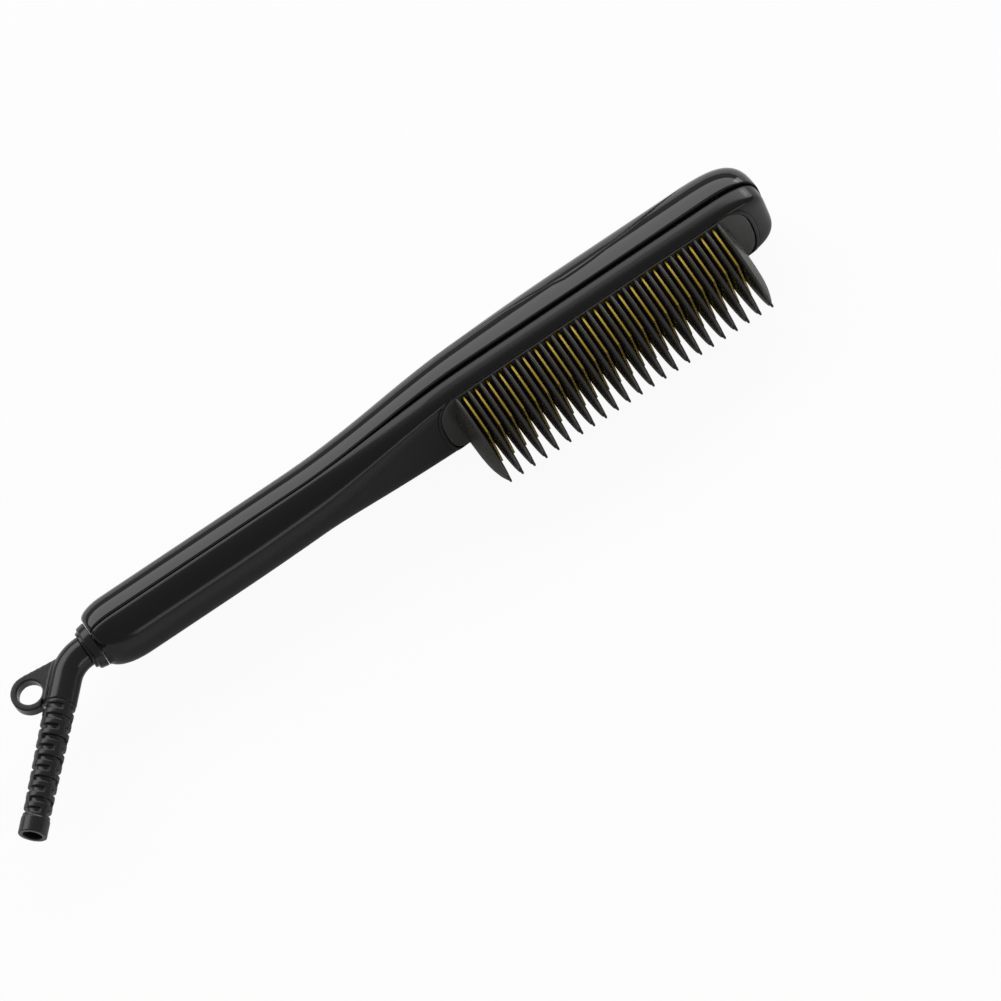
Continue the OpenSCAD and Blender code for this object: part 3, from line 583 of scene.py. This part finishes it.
# %% [markdown]
# ## The comb insert's outline
# The insert has straight sides and rounded ends, and stays inside the lower shell's rim. Its outline is
# a line on the underside, so the same rows and strips that made the leaf make the opening for it.

# %% The insert's outline on the underside
COMB_START, PITCH, TEETH = 120.9, 4.0, 23
PLATE_START, PLATE_END = 113.7, 217.6
PLATE_HALF_W, PLATE_MARGIN = 13.2, 0.9
PLATE_END_POWER = 0.35
PLATE_MID, PLATE_END_LEN = (PLATE_START + PLATE_END) / 2, 6.2
PLATE_RUN = (PLATE_END - PLATE_START) / 2 - PLATE_END_LEN


def plate_half(x):
    t = np.maximum(0, np.abs(x - PLATE_MID) - PLATE_RUN) / PLATE_END_LEN
    room = low_wide(x) * nose(x, NOSE_W_POWER) - PLATE_MARGIN
    return np.minimum(PLATE_HALF_W * np.maximum(0, 1 - t * t) ** PLATE_END_POWER, room)


turn = np.radians(np.linspace(0, 90, 26))
bend = PLATE_END_LEN * np.cos(turn)
straight = np.linspace(PLATE_MID - PLATE_RUN, PLATE_MID + PLATE_RUN, 70)
plate_x = np.concatenate([straight[0] - bend, straight[1:-1], straight[-1] + bend[::-1]])
plate_z = plate_half(plate_x)
plate_z[[0, -1]] = 0
plate_line = edge_line(belly, plate_x, plate_z)
print("insert outline", len(plate_x), "points")

# %% [markdown]
# ## The satin lower shell
# The underside is the same kind of loft, boxy at the head. A low lip stands round the insert, with its
# own fine line, and the wall then drops into the seam.

# %% Build the lower shell
LIP = [(1.75, 0.0), (1.45, 0.0), (1.4, 0.12), (1.3, 0.12), (1.22, -0.12), (1.0, -0.2), (0.55, -0.22),
       (0.3, -0.18), (0.2, -0.06), (0.16, 0.2), (0.16, 2.2), (-1.0, 2.2)]
FLUSH = [(0.42, 0.0), (0.4, 0.0), (0.38, 0.0), (0.36, 0.0), (0.34, 0.0), (0.32, 0.0), (0.3, 0.01),
         (0.26, 0.02), (0.2, 0.05), (0.16, 0.2), (0.16, 2.2), (-1.0, 2.2)]


LIP_FADE = 2.0


def room_beside(points):
    """How far each point of the insert's outline is from the lower shell's side, seen in plan."""
    x = np.linspace(90, BODY_LEN - LOW_SHORT - 1e-3, 1200)
    side = np.stack([x, low_half_w(x)], 1)
    return np.array([np.hypot(*(side - p).T).min() for p in points[:, [0, 2]]])


lip_share = smooth((room_beside(plate_line[0]) - PLATE_MARGIN) / LIP_FADE)
sheets = Sheets()
first_step = mix(FLUSH[0][0], LIP[0][0], lip_share)
low_rows = shell_rows(belly, -1, plate_line, BODY_LEN - LOW_SHORT, first_step)
sheets.add(low_rows, mirror=True)
sheets.add(profile(*plate_line, LIP, FLUSH, lip_share), mirror=True)
sheets.add(tail_face(low_rows), mirror=True)
low = sheets.build("lower_shell_satin")
settle(low, "housing", "satin_black", SATIN, "lower_shell")

# %% [markdown]
# ## The comb insert
# The insert's face continues the underside. Its rounded edge meets the seam, and a slot for each fin
# goes through it. The slots are cut with one boolean, from a mesh of blocks with rounded ends.

# %% Build the insert
SLOT_HALF, SLOT_END_GAP = 0.6, 0.2
ROOT_HALF, ROOT_MARGIN = 12.8, 0.3
PLATE_FACE = [(-0.45, 0.0), (-0.2, 0.03), (-0.06, 0.14), (-0.02, 0.4), (-0.02, 2.0)]


def root_half(x):
    return np.minimum(ROOT_HALF, plate_half(x) - ROOT_MARGIN)


def plate_sheets():
    sheets = Sheets()
    edge = plate_line[0] + plate_line[2] * PLATE_FACE[0][0]
    x, z = edge[:, 0], np.maximum(edge[:, 2], 0)
    z[[0, -1]] = 0
    s = np.linspace(0, 1, 13)
    wide = z[:, None] * s
    angle = angle_at(belly, x[:, None] + 0 * wide, wide)
    grid = belly(x[:, None] + 0 * wide, angle)
    grid[..., 2] = wide
    sheets.add(grid, mirror=True)
    strip = profile(*plate_line, PLATE_FACE)
    sheets.add(strip, mirror=True)
    floor = strip[:, -1]
    sheets.add(np.stack([floor * [1, 1, 0], floor], 1), mirror=True)
    return sheets


def slot_cutters():
    sheets = Sheets()
    for i in range(TEETH - 1):
        x = COMB_START + PITCH * (i + 0.5)
        theta = np.linspace(0, 2 * math.pi, 25)[:-1]
        middle = np.sign(np.sin(theta)) * (root_half(x) - SLOT_END_GAP - SLOT_HALF)
        loop = [[x + SLOT_HALF * math.cos(t), 0, c + SLOT_HALF * math.sin(t)]
                for t, c in zip(theta, middle)]
        sheets.solid([np.array(loop) + [0, y, 0] for y in (-12, 2)])
    return sheets.build("slot_cutters")


def carve(obj, cutter, operation="DIFFERENCE"):
    """Applies one exact boolean and throws the cutter away."""
    cut = obj.modifiers.new("cut", "BOOLEAN")
    cut.operation, cut.object, cut.solver = operation, cutter, "EXACT"
    graph = bpy.context.evaluated_depsgraph_get()
    mesh = bpy.data.meshes.new_from_object(obj.evaluated_get(graph))
    obj.modifiers.clear()
    obj.data = mesh
    bpy.data.objects.remove(cutter)
    mesh.polygons.foreach_set("use_smooth", [True] * len(mesh.polygons))
    mesh.set_sharp_from_angle(angle=math.radians(35))
    return obj


plate = carve(plate_sheets().build("comb_plate_satin"), slot_cutters())
settle(plate, "housing", "comb_plastic", COMB, "comb_plate")

# %% [markdown]
# ## The teeth
# A tooth is a blade: lens-shaped in section, thick in the middle with round thin edges, drawn in along
# a curve to a small nub. The first and the last tooth bulge outwards. All 23 are one moulding, so they
# are one piece.

# %% Build the teeth
TOOTH_H, NUB = 24.5, 1.6
ROOT_Y = -6.0
BLADE = TOOTH_H - NUB
TIP_HALF, SIDE_POWER = 0.7, 0.65
ROOT_T, TIP_T, TAPER_POWER = 2.7, 1.0, 4.6
ROOT_EDGE, TIP_EDGE = 1.0, 0.85
EDGE_LIMIT, NUB_EDGE = 1.6, 0.8
END_BULGE = 1.6
SUNK = 1.2
NUB_STEPS = [(0.0, 0.66, 0.95), (0.6, 0.6, 0.86), (1.1, 0.54, 0.78), (1.4, 0.42, 0.6), (1.55, 0.24, 0.34),
             (NUB, 0.05, 0.06)]


def tooth_half(d, root):
    return TIP_HALF + (root - TIP_HALF) * np.maximum(0, 1 - (d / BLADE) ** 2) ** SIDE_POWER


def lens(half, mid, edge, bulge, count=11):
    """A closed outline in X and Z: two bowed sides joined by round edges."""
    r = edge / 2
    z = np.sin(np.linspace(-math.pi / 2, math.pi / 2, count)) * (half - r)
    bow = np.clip(1 - (z / max(half - r, 1e-6)) ** 2, 0, 1)
    right = np.stack([r + (mid / 2 - r) * bow + bulge * bow, z], 1)
    left = np.stack([-r - (mid / 2 - r) * bow, z], 1)[::-1]
    arc = np.radians(np.linspace(0, 180, 7)[1:-1])
    top = np.stack([r * np.cos(arc), half - r + r * np.sin(arc)], 1)
    low_arc = np.stack([-r * np.cos(arc), -half + r - r * np.sin(arc)], 1)
    return np.concatenate([right, top, left, low_arc])


def tooth_rings(x, root, bulge, way):
    levels = np.concatenate([[-SUNK / BLADE], np.sin(np.linspace(0, math.pi / 2, 26)) ** 0.8])
    rings = []
    for s in levels[:-1]:
        d = s * BLADE
        half = float(tooth_half(max(d, 0), root))
        taper = max(s, 0) ** TAPER_POWER
        edge = min(mix(ROOT_EDGE, TIP_EDGE, max(s, 0)), EDGE_LIMIT * half)
        outline = lens(half, mix(ROOT_T, TIP_T, taper), edge, bulge * (1 - taper))
        rings.append([[x + way * p[0], ROOT_Y - d, p[1]] for p in outline])
    for up, half, mid in NUB_STEPS:
        outline = lens(half, mid, min(NUB_EDGE * mid, EDGE_LIMIT * half), 0)
        rings.append([[x + way * p[0], ROOT_Y - BLADE - up, p[1]] for p in outline])
    return np.array(rings)


sheets = Sheets()
for i in range(TEETH):
    x = COMB_START + PITCH * i
    bulge = END_BULGE if i in (0, TEETH - 1) else 0.0
    rings = tooth_rings(x, float(root_half(x)), bulge, -1 if i == 0 else 1)
    sheets.solid(rings)
teeth = sheets.build("comb_teeth_satin", sharp=50)
settle(teeth, "housing", "comb_plastic", COMB, "comb_teeth")

# %% [markdown]
# ## The heated fins
# Between the teeth stand thin metal fins. Each follows the tooth's outline a millimetre further in, and
# is cut off square at half the tooth's height. A narrow bevel catches the light along its edge.

# %% Build the fins
FIN_T, FIN_REACH, FIN_TOP = 0.7, 0.5, -3.8
FIN_INSET, FIN_BEVEL = 1.0, 0.1


def fin_outline(root, inset):
    reach = FIN_REACH * TOOTH_H - inset
    d = reach * np.sin(np.linspace(0, math.pi / 2, 24))
    half = tooth_half(np.minimum(d, reach), root) - FIN_INSET - inset
    side = np.stack([ROOT_Y - d, half], 1)
    top = np.array([[FIN_TOP, side[0, 1]]])
    half_line = np.concatenate([top, side, [[side[-1, 0], side[-1, 1] * 0.5], [side[-1, 0], 0]]])
    return np.concatenate([half_line, half_line[-2::-1] * [1, -1]])


sheets = Sheets()
for i in range(TEETH - 1):
    x = COMB_START + PITCH * (i + 0.5)
    root = float(root_half(x))
    outer, inner = fin_outline(root, 0.0), fin_outline(root, FIN_BEVEL)
    flat = FIN_T / 2 - FIN_BEVEL
    rings = [[[x + side, p[0], p[1]] for p in line]
             for side, line in ((-FIN_T / 2, inner), (-flat, outer), (flat, outer), (FIN_T / 2, inner))]
    sheets.solid(rings)
fins = sheets.build("heater_fins_golden")
settle(fins, "housing", "golden", GOLD, "heater_fins")

# %% [markdown]
# ## The button
# The cap is an oval that follows the dome, sunk a hair in its dish. A fine ring is pressed into its
# face, as a shallow groove with real depth.

# %% Build the button
CAP_EDGE = [(0.0, 5.0), (0.0, 0.55), (-0.05, 0.35), (-0.2, 0.2), (-0.45, 0.12)]
CAP_FACE = [(2.6, 0.0), (2.35, 0.0), (2.25, 0.1), (2.15, 0.1), (2.05, 0.0), (1.5, 0.0), (1.0, 0.0),
            (0.5, 0.0), (0.02, 0.0)]


def button_sheets():
    """Oval rings down the cap's side, then rings across its face that turn from the oval to circles."""
    sheets = Sheets()
    theta = np.linspace(0, 2 * math.pi, 97)[:-1]
    rings = [dome_at(*oval(theta, grow), np.full(96, depth)) for grow, depth in CAP_EDGE]
    inset, sunk = CAP_EDGE[-1]
    ox, oz = oval(theta, inset)
    cx, cz = BUTTON_X + CAP_FACE[0][0] * np.cos(theta), CAP_FACE[0][0] * np.sin(theta)
    for share in (0.33, 0.66):
        rings.append(dome_at(mix(ox, cx, share), mix(oz, cz, share), np.full(96, sunk)))
    for r, depth in CAP_FACE:
        rings.append(dome_at(BUTTON_X + r * np.cos(theta), r * np.sin(theta), np.full(96, sunk + depth)))
    sheets.add(np.stack(rings), closed=True)
    sheets.cap(rings[0])
    return sheets


button = button_sheets().build("button_cap_oval")
settle(button, "button", "button_black", CAP, "power_button")

# %% [markdown]
# ## The cord exit
# The collar is turned, the elbow is a bent tube with a flat tab beside it, and the sleeve is a tapered
# tube with slots and turned ribs. The elbow and the sleeve are put together from simple closed bodies,
# then remeshed to small voxels and relaxed, which rounds every corner as a soft moulding is.

# %% The exit's own line
BEND_ANGLE, BEND_R = math.radians(48), 11.5
BEND_REACH = BEND_R * math.tan(BEND_ANGLE / 2)
COLLAR_GAP, COLLAR_LEN = 0.15, 3.6
COLLAR_END = -COLLAR_GAP - COLLAR_LEN
CORNER_X = COLLAR_END - 0.2 - BEND_REACH
RUN, RELIEF_LEN = 8.0, 40.0
DOWN = np.array([-math.cos(BEND_ANGLE), -math.sin(BEND_ANGLE), 0])
SIDE = np.array([-math.sin(BEND_ANGLE), math.cos(BEND_ANGLE), 0])
UP = np.array([0, 0, 1.0])


def along_exit(s, side=0.0, up=0.0):
    """A point past the elbow's corner: s along the sleeve's line, side towards the back, up along Z."""
    return np.array([CORNER_X, 0, 0]) + DOWN * s + SIDE * side + UP * up


def tube(centres, frames, radii, segments=64):
    theta = np.linspace(0, 2 * math.pi, segments + 1)[:-1]
    return [c + r * (np.cos(theta)[:, None] * u + np.sin(theta)[:, None] * v)
            for c, (u, v), r in zip(centres, frames, radii)]


def melt(obj, voxel, rounds):
    """Voxel remesh and relax: soft blends where the bodies meet."""
    remesh = obj.modifiers.new("remesh", "REMESH")
    remesh.mode, remesh.voxel_size = "VOXEL", voxel
    relax = obj.modifiers.new("relax", "SMOOTH")
    relax.factor, relax.iterations = 0.5, rounds
    graph = bpy.context.evaluated_depsgraph_get()
    mesh = bpy.data.meshes.new_from_object(obj.evaluated_get(graph))
    obj.modifiers.clear()
    obj.data = mesh
    mesh.polygons.foreach_set("use_smooth", [True] * len(mesh.polygons))
    return obj


print("the sleeve ends at", to_frame(along_exit(BEND_REACH + RUN + RELIEF_LEN)).round(4))

# %% Build the collar
def turned(sheets, profile_points, segments=96):
    """A profile of (x, radius) turned about the body's axis."""
    theta = np.linspace(0, 2 * math.pi, segments + 1)[:-1]
    rings = [np.stack([np.full(segments, x), r * np.cos(theta), r * np.sin(theta)], 1)
             for x, r in profile_points]
    sheets.add(np.array(rings), closed=True)


sheets = Sheets()
BORE_R = 3.05
COLLAR = [(-0.15, 6.72), (-0.2, 6.86), (-0.32, 6.95), (-0.5, 6.96), (-2.4, 6.61), (-2.6, 6.5), (-2.76, 6.32),
          (-2.84, 6.08), (-2.93, 5.78), (-3.1, 5.72), (-3.6, 5.62), (-3.7, 5.5), (-3.75, 5.25)]
turned(sheets, [(-COLLAR_GAP, BORE_R), *COLLAR, (COLLAR_END, BORE_R), (-COLLAR_GAP, BORE_R)])
collar = sheets.build("swivel_collar_satin")
settle(collar, "swivel", "satin_black", EXIT, "swivel_collar")

# %% Build the elbow with its tab
STEM_R, STEM_END, TUBE_R, SPIGOT_R, SPIGOT_LEN = 2.9, 8.0, 4.6, 3.1, 5.0
HOLE_AT, HOLE_R, TAB_RIM, TAB_HALF = np.array([11.0, 9.1]), 3.7, 1.9, 1.8
TAB_END_GAP, TAB_ROOT_R, STEP_LEN, STEP_R, CUT_HALF = 0.25, 0.6, 9.0, 4.95, 4.0


def elbow_body():
    sheets = Sheets()
    centres, frames, radii = [], [], []

    def station(c, u, r):
        centres.append(c)
        frames.append((u, UP))
        radii.append(r)

    y_up = np.array([0, 1.0, 0])
    station(np.array([STEM_END, 0, 0]), y_up, STEM_R)
    station(np.array([COLLAR_END + 0.03, 0, 0]), y_up, STEM_R + 0.05)
    station(np.array([COLLAR_END, 0, 0]), y_up, TUBE_R)
    for a in np.linspace(0, BEND_ANGLE, 25):
        c = np.array([CORNER_X + BEND_REACH - BEND_R * math.sin(a), -BEND_R + BEND_R * math.cos(a), 0])
        station(c, np.array([-math.sin(a), math.cos(a), 0]), TUBE_R)
    station(along_exit(BEND_REACH + RUN), SIDE, TUBE_R)
    station(along_exit(BEND_REACH + RUN + 0.01), SIDE, SPIGOT_R)
    station(along_exit(BEND_REACH + RUN + SPIGOT_LEN), SIDE, SPIGOT_R)
    sheets.solid(tube(centres, frames, radii))
    return sheets.build("cord_elbow_satin")


def prism(name, outline, half):
    """A flat piece in the exit's own plane, from (along, side) points."""
    sheets = Sheets()
    middle = np.array([along_exit(*p) for p in outline])
    sheets.solid([middle - [0, 0, half], middle + [0, 0, half]])
    return sheets.build(name)


def circle(centre, radius, count):
    t = np.linspace(0, 2 * math.pi, count + 1)[:-1]
    return centre + radius * np.stack([np.cos(t), np.sin(t)], 1)


def tab_body():
    """The flat tab: round about its hole, with straight sides that run to the tube."""
    end = BEND_REACH + RUN - TAB_END_GAP
    corners = [(end - TAB_ROOT_R, 3.0), (-0.5, 2.6)]
    points = [Vector(p) for p in [*circle(HOLE_AT, HOLE_R + TAB_RIM, 72), *corners]]
    tab = prism("tab", [points[i] for i in convex_hull_2d(points)], TAB_HALF)
    tab = carve(tab, prism("hole", circle(HOLE_AT, HOLE_R, 64), CUT_HALF))
    step = [(end, 0), (end + STEP_LEN, 0), (end + STEP_LEN, STEP_R), (end, STEP_R)]
    return carve(tab, prism("step", step, CUT_HALF))


ELBOW_VOXEL = 0.00022
elbow = melt(carve(elbow_body(), tab_body(), "UNION"), ELBOW_VOXEL, 5)
settle(elbow, "swivel", "satin_black", EXIT, "cord_elbow")

# %% Build the strain relief
SLOT_START, SLOT_PITCH, SLOT_W, RIB_W = 1.2, 3.15, 1.5, 2.0
SLEEVE_R, SLEEVE_END_R, RING_R, RING_LEN, CORD_R = 4.5, 3.95, 4.15, 4.8, 2.8
SOCKET_LEN, SOCKET_FLOOR, SLOT_FLOOR, SLOT_OUT = 7.2, 3.68, 3.15, 6.5
FIT = 0.02


def relief_body():
    sheets = Sheets()
    start, ring, end = BEND_REACH + RUN + FIT, RELIEF_LEN - RING_LEN, RELIEF_LEN - FIT
    steps = [(0, BORE_R), (0, SLEEVE_R), (ring, SLEEVE_END_R), (ring + 0.05, RING_R), (end, RING_R),
             (end, CORD_R), (SOCKET_LEN, CORD_R), (SOCKET_LEN - 0.05, BORE_R), (0, BORE_R)]
    centres, radii = [along_exit(start + s) for s, r in steps], [r for s, r in steps]
    sheets.add(np.array(tube(centres, [(SIDE, UP)] * len(steps), radii)), closed=True)
    return sheets.build("strain_relief_soft")


def slot_section(s, angles):
    """Four corners of a slot, from its floor at one angle to the outside at another."""
    low, high = [(math.cos(a) * r, math.sin(a) * r) for a, r in angles]
    near, far = BEND_REACH + RUN + s, BEND_REACH + RUN + s + SLOT_W
    return [along_exit(at, v, u) for at, (u, v) in ((near, low), (near, high), (far, high), (far, low))]


def relief_slots():
    """Slots all round, each bridged by two ribs at 45 degrees that turn over from level to level."""
    sheets = Sheets()
    levels = 1 + int((RELIEF_LEN - RING_LEN - SLOT_W - SLOT_START) // SLOT_PITCH)
    for i in range(levels):
        s = SLOT_START + SLOT_PITCH * i
        floor = SOCKET_FLOOR if s < SOCKET_LEN else SLOT_FLOOR
        lean = math.radians(-45 if i % 2 == 0 else 45)
        for half in (0, math.pi):
            rows = []
            for k in np.linspace(0, 1, 25):
                skips = [(math.asin(RIB_W / 2 / r), r) for r in (floor, SLOT_OUT)]
                angles = [(lean + half + mix(skip, math.pi - skip, k), r) for skip, r in skips]
                rows.append(slot_section(s, angles))
            sheets.solid(rows)
    print("slot levels", levels)
    return sheets.build("slots")


RELIEF_VOXEL = 0.00017
relief = melt(carve(relief_body(), relief_slots()), RELIEF_VOXEL, 4)
settle(relief, "swivel", "soft_black", RUBBER, "strain_relief")

# %% [markdown]
# ## The inner pieces
# Nobody sees the heater stack or the board in the picture, but they show when a shell is
# taken off. They keep their CAD shapes, and each gets a finish of its own.

# %% Finishes of the inner pieces
def metal(name, dark, light, rough=(0.2, 0.3), **more):
    return finish(name, dark, light, rough=rough, metallic=1.0, **more)


INNER = {
    "element": finish("element_ceramic", (0.55, 0.53, 0.50), (0.70, 0.68, 0.64), rough=(0.35, 0.5),
                      grain=1200),
    "film": finish("film_amber", (0.50, 0.26, 0.03), (0.62, 0.34, 0.05), rough=(0.2, 0.3), grain=600),
    "bright_metal": metal("bright_metal", (0.62, 0.62, 0.63), (0.72, 0.72, 0.73), rough=(0.25, 0.4),
                          grain=1500, stretch=(0.1, 1, 1)),
    "fuse_metal": metal("fuse_metal", (0.65, 0.65, 0.65), (0.78, 0.78, 0.78)),
    "part_black": finish("part_black", (0.018, 0.018, 0.020), (0.032, 0.032, 0.034), rough=(0.4, 0.55),
                         grain=2000),
    "screw_steel": metal("screw_steel", (0.50, 0.50, 0.52), (0.62, 0.62, 0.64), rough=(0.25, 0.35)),
    "ivory": finish("ivory_plastic", (0.62, 0.60, 0.52), (0.72, 0.70, 0.62), rough=(0.35, 0.45), grain=1800),
    "board_green": finish("board_green", (0.015, 0.10, 0.04), (0.025, 0.15, 0.06), rough=(0.2, 0.35),
                          grain=700),
    "lead_red": finish("lead_red", (0.40, 0.02, 0.015), (0.50, 0.04, 0.03), rough=(0.35, 0.5), grain=1500),
    "lead_blue": finish("lead_blue", (0.03, 0.08, 0.35), (0.05, 0.12, 0.45), rough=(0.35, 0.5), grain=1500),
    "brass": metal("brass_rings", (0.70, 0.48, 0.18), (0.80, 0.58, 0.25)),
    "spring_bronze": metal("spring_bronze", (0.62, 0.38, 0.20), (0.74, 0.46, 0.26), rough=(0.25, 0.35)),
    "golden": GOLD,
}
slots = {row["node"]: row["material_slot"] for row in frame["record"]["subparts"]}
for name, node in frame["nodes"].items():
    if slots.get(name) in INNER and not node.hide_render:
        node.data.materials.clear()
        node.data.materials.append(INNER[slots[name]])
print("inner finishes", len(INNER))

# %% [markdown]
# ## Floor, lamps and camera
# The object lies on a plain white floor. One long panel over the back makes the grey bands beside the
# parting line, and the dark sky beside it makes the black ones. The camera stands high over the tooth
# side, far away, with a long lens, so that the comb is drawn almost without perspective.

# %% The floor
FLOOR_WHITE, FLOOR_HALF = 0.93, 6
CAMERA_GLOW = 0.94


def floor_material():
    material = bpy.data.materials.new("floor_white")
    material.use_nodes = True
    nodes, links = material.node_tree.nodes, material.node_tree.links
    shader = nodes["Principled BSDF"]
    shader.inputs["Base Color"].default_value = (FLOOR_WHITE, FLOOR_WHITE, FLOOR_WHITE, 1)
    shader.inputs["Roughness"].default_value = 0.9
    shader.inputs["Specular IOR Level"].default_value = 0.1
    glow = nodes.new("ShaderNodeEmission")
    glow.inputs["Color"].default_value = (1, 1, 1, 1)
    glow.inputs["Strength"].default_value = 1.0
    path = nodes.new("ShaderNodeLightPath")
    share = nodes.new("ShaderNodeMath")
    share.operation = "MULTIPLY"
    share.inputs[1].default_value = CAMERA_GLOW
    blend = nodes.new("ShaderNodeMixShader")
    links.new(path.outputs["Is Camera Ray"], share.inputs[0])
    links.new(share.outputs[0], blend.inputs[0])
    links.new(shader.outputs[0], blend.inputs[1])
    links.new(glow.outputs[0], blend.inputs[2])
    links.new(blend.outputs[0], nodes["Material Output"].inputs["Surface"])
    return material


mesh = bpy.data.meshes.new("floor")
mesh.from_pydata([(x * FLOOR_HALF, y * FLOOR_HALF, 0) for x, y in ((-1, -1), (1, -1), (1, 1), (-1, 1))],
                 [], [(0, 1, 2, 3)])
floor = bpy.data.objects.new("floor", mesh)
floor.data.materials.append(floor_material())
bpy.context.scene.collection.objects.link(floor)

# %% The world and the lamps
SKY = 0.26
world = bpy.data.worlds.new("studio")
world.use_nodes = True
world.node_tree.nodes["Background"].inputs["Color"].default_value = (1, 1, 1, 1)
world.node_tree.nodes["Background"].inputs["Strength"].default_value = SKY
bpy.context.scene.world = world

CENTRE = Vector(to_frame([107.5, -2, 0]))           # the point of the body that the camera was measured at
RIGHT = Vector((0.8302, -0.5119, -0.2208))
ABOVE = Vector((0.5543, 0.7155, 0.4252))
TOWARD = Vector((-0.0597, -0.4754, 0.8778))


def lamp(name, direction, distance, size, power):
    """A rectangle of light that faces the body: size in metres, power in watts."""
    data = bpy.data.lights.new(name, "AREA")
    data.shape, data.size, data.size_y, data.energy = "RECTANGLE", size[0], size[1], power
    obj = bpy.data.objects.new(name, data)
    spot = Vector(direction).normalized() * distance
    obj.location = CENTRE + spot
    obj.rotation_euler = spot.to_track_quat("Z", "Y").to_euler()
    bpy.context.scene.collection.objects.link(obj)
    return obj


lamp("panel", (0.1, 1.0, 0.9), 1.2, (3.4, 0.8), 18)
lamp("fill", (0.3, -1.0, 0.25), 1.4, (1.2, 0.35), 2)
lamp("end", (1.0, 0.45, 0.3), 1.2, (0.5, 0.5), 2)

# %% The camera
PX_PER_MM, FRAME_PX, FAR, SENSOR = 3.57, 1001, 2.5, 36
CENTRE_PX = (419.63, 435.62)                        # where that point lies in the frame, from the top left
PX_PER_M = PX_PER_MM * MM
aside, down = [(FRAME_PX / 2 - at) / PX_PER_M for at in CENTRE_PX]
aim = CENTRE + RIGHT * aside - ABOVE * down
camera_data = bpy.data.cameras.new("camera")
camera_data.sensor_width = SENSOR
camera_data.lens = SENSOR * PX_PER_M * FAR / FRAME_PX
camera_data.clip_end = 20
camera = bpy.data.objects.new("camera", camera_data)
axes = Matrix((RIGHT, ABOVE, TOWARD)).transposed()
camera.matrix_world = Matrix.Translation(aim + TOWARD * FAR) @ axes.to_4x4()
bpy.context.scene.collection.objects.link(camera)
bpy.context.scene.camera = camera
bpy.context.scene.view_settings.view_transform = "Standard"
print("lens", round(camera_data.lens, 1), "mm")
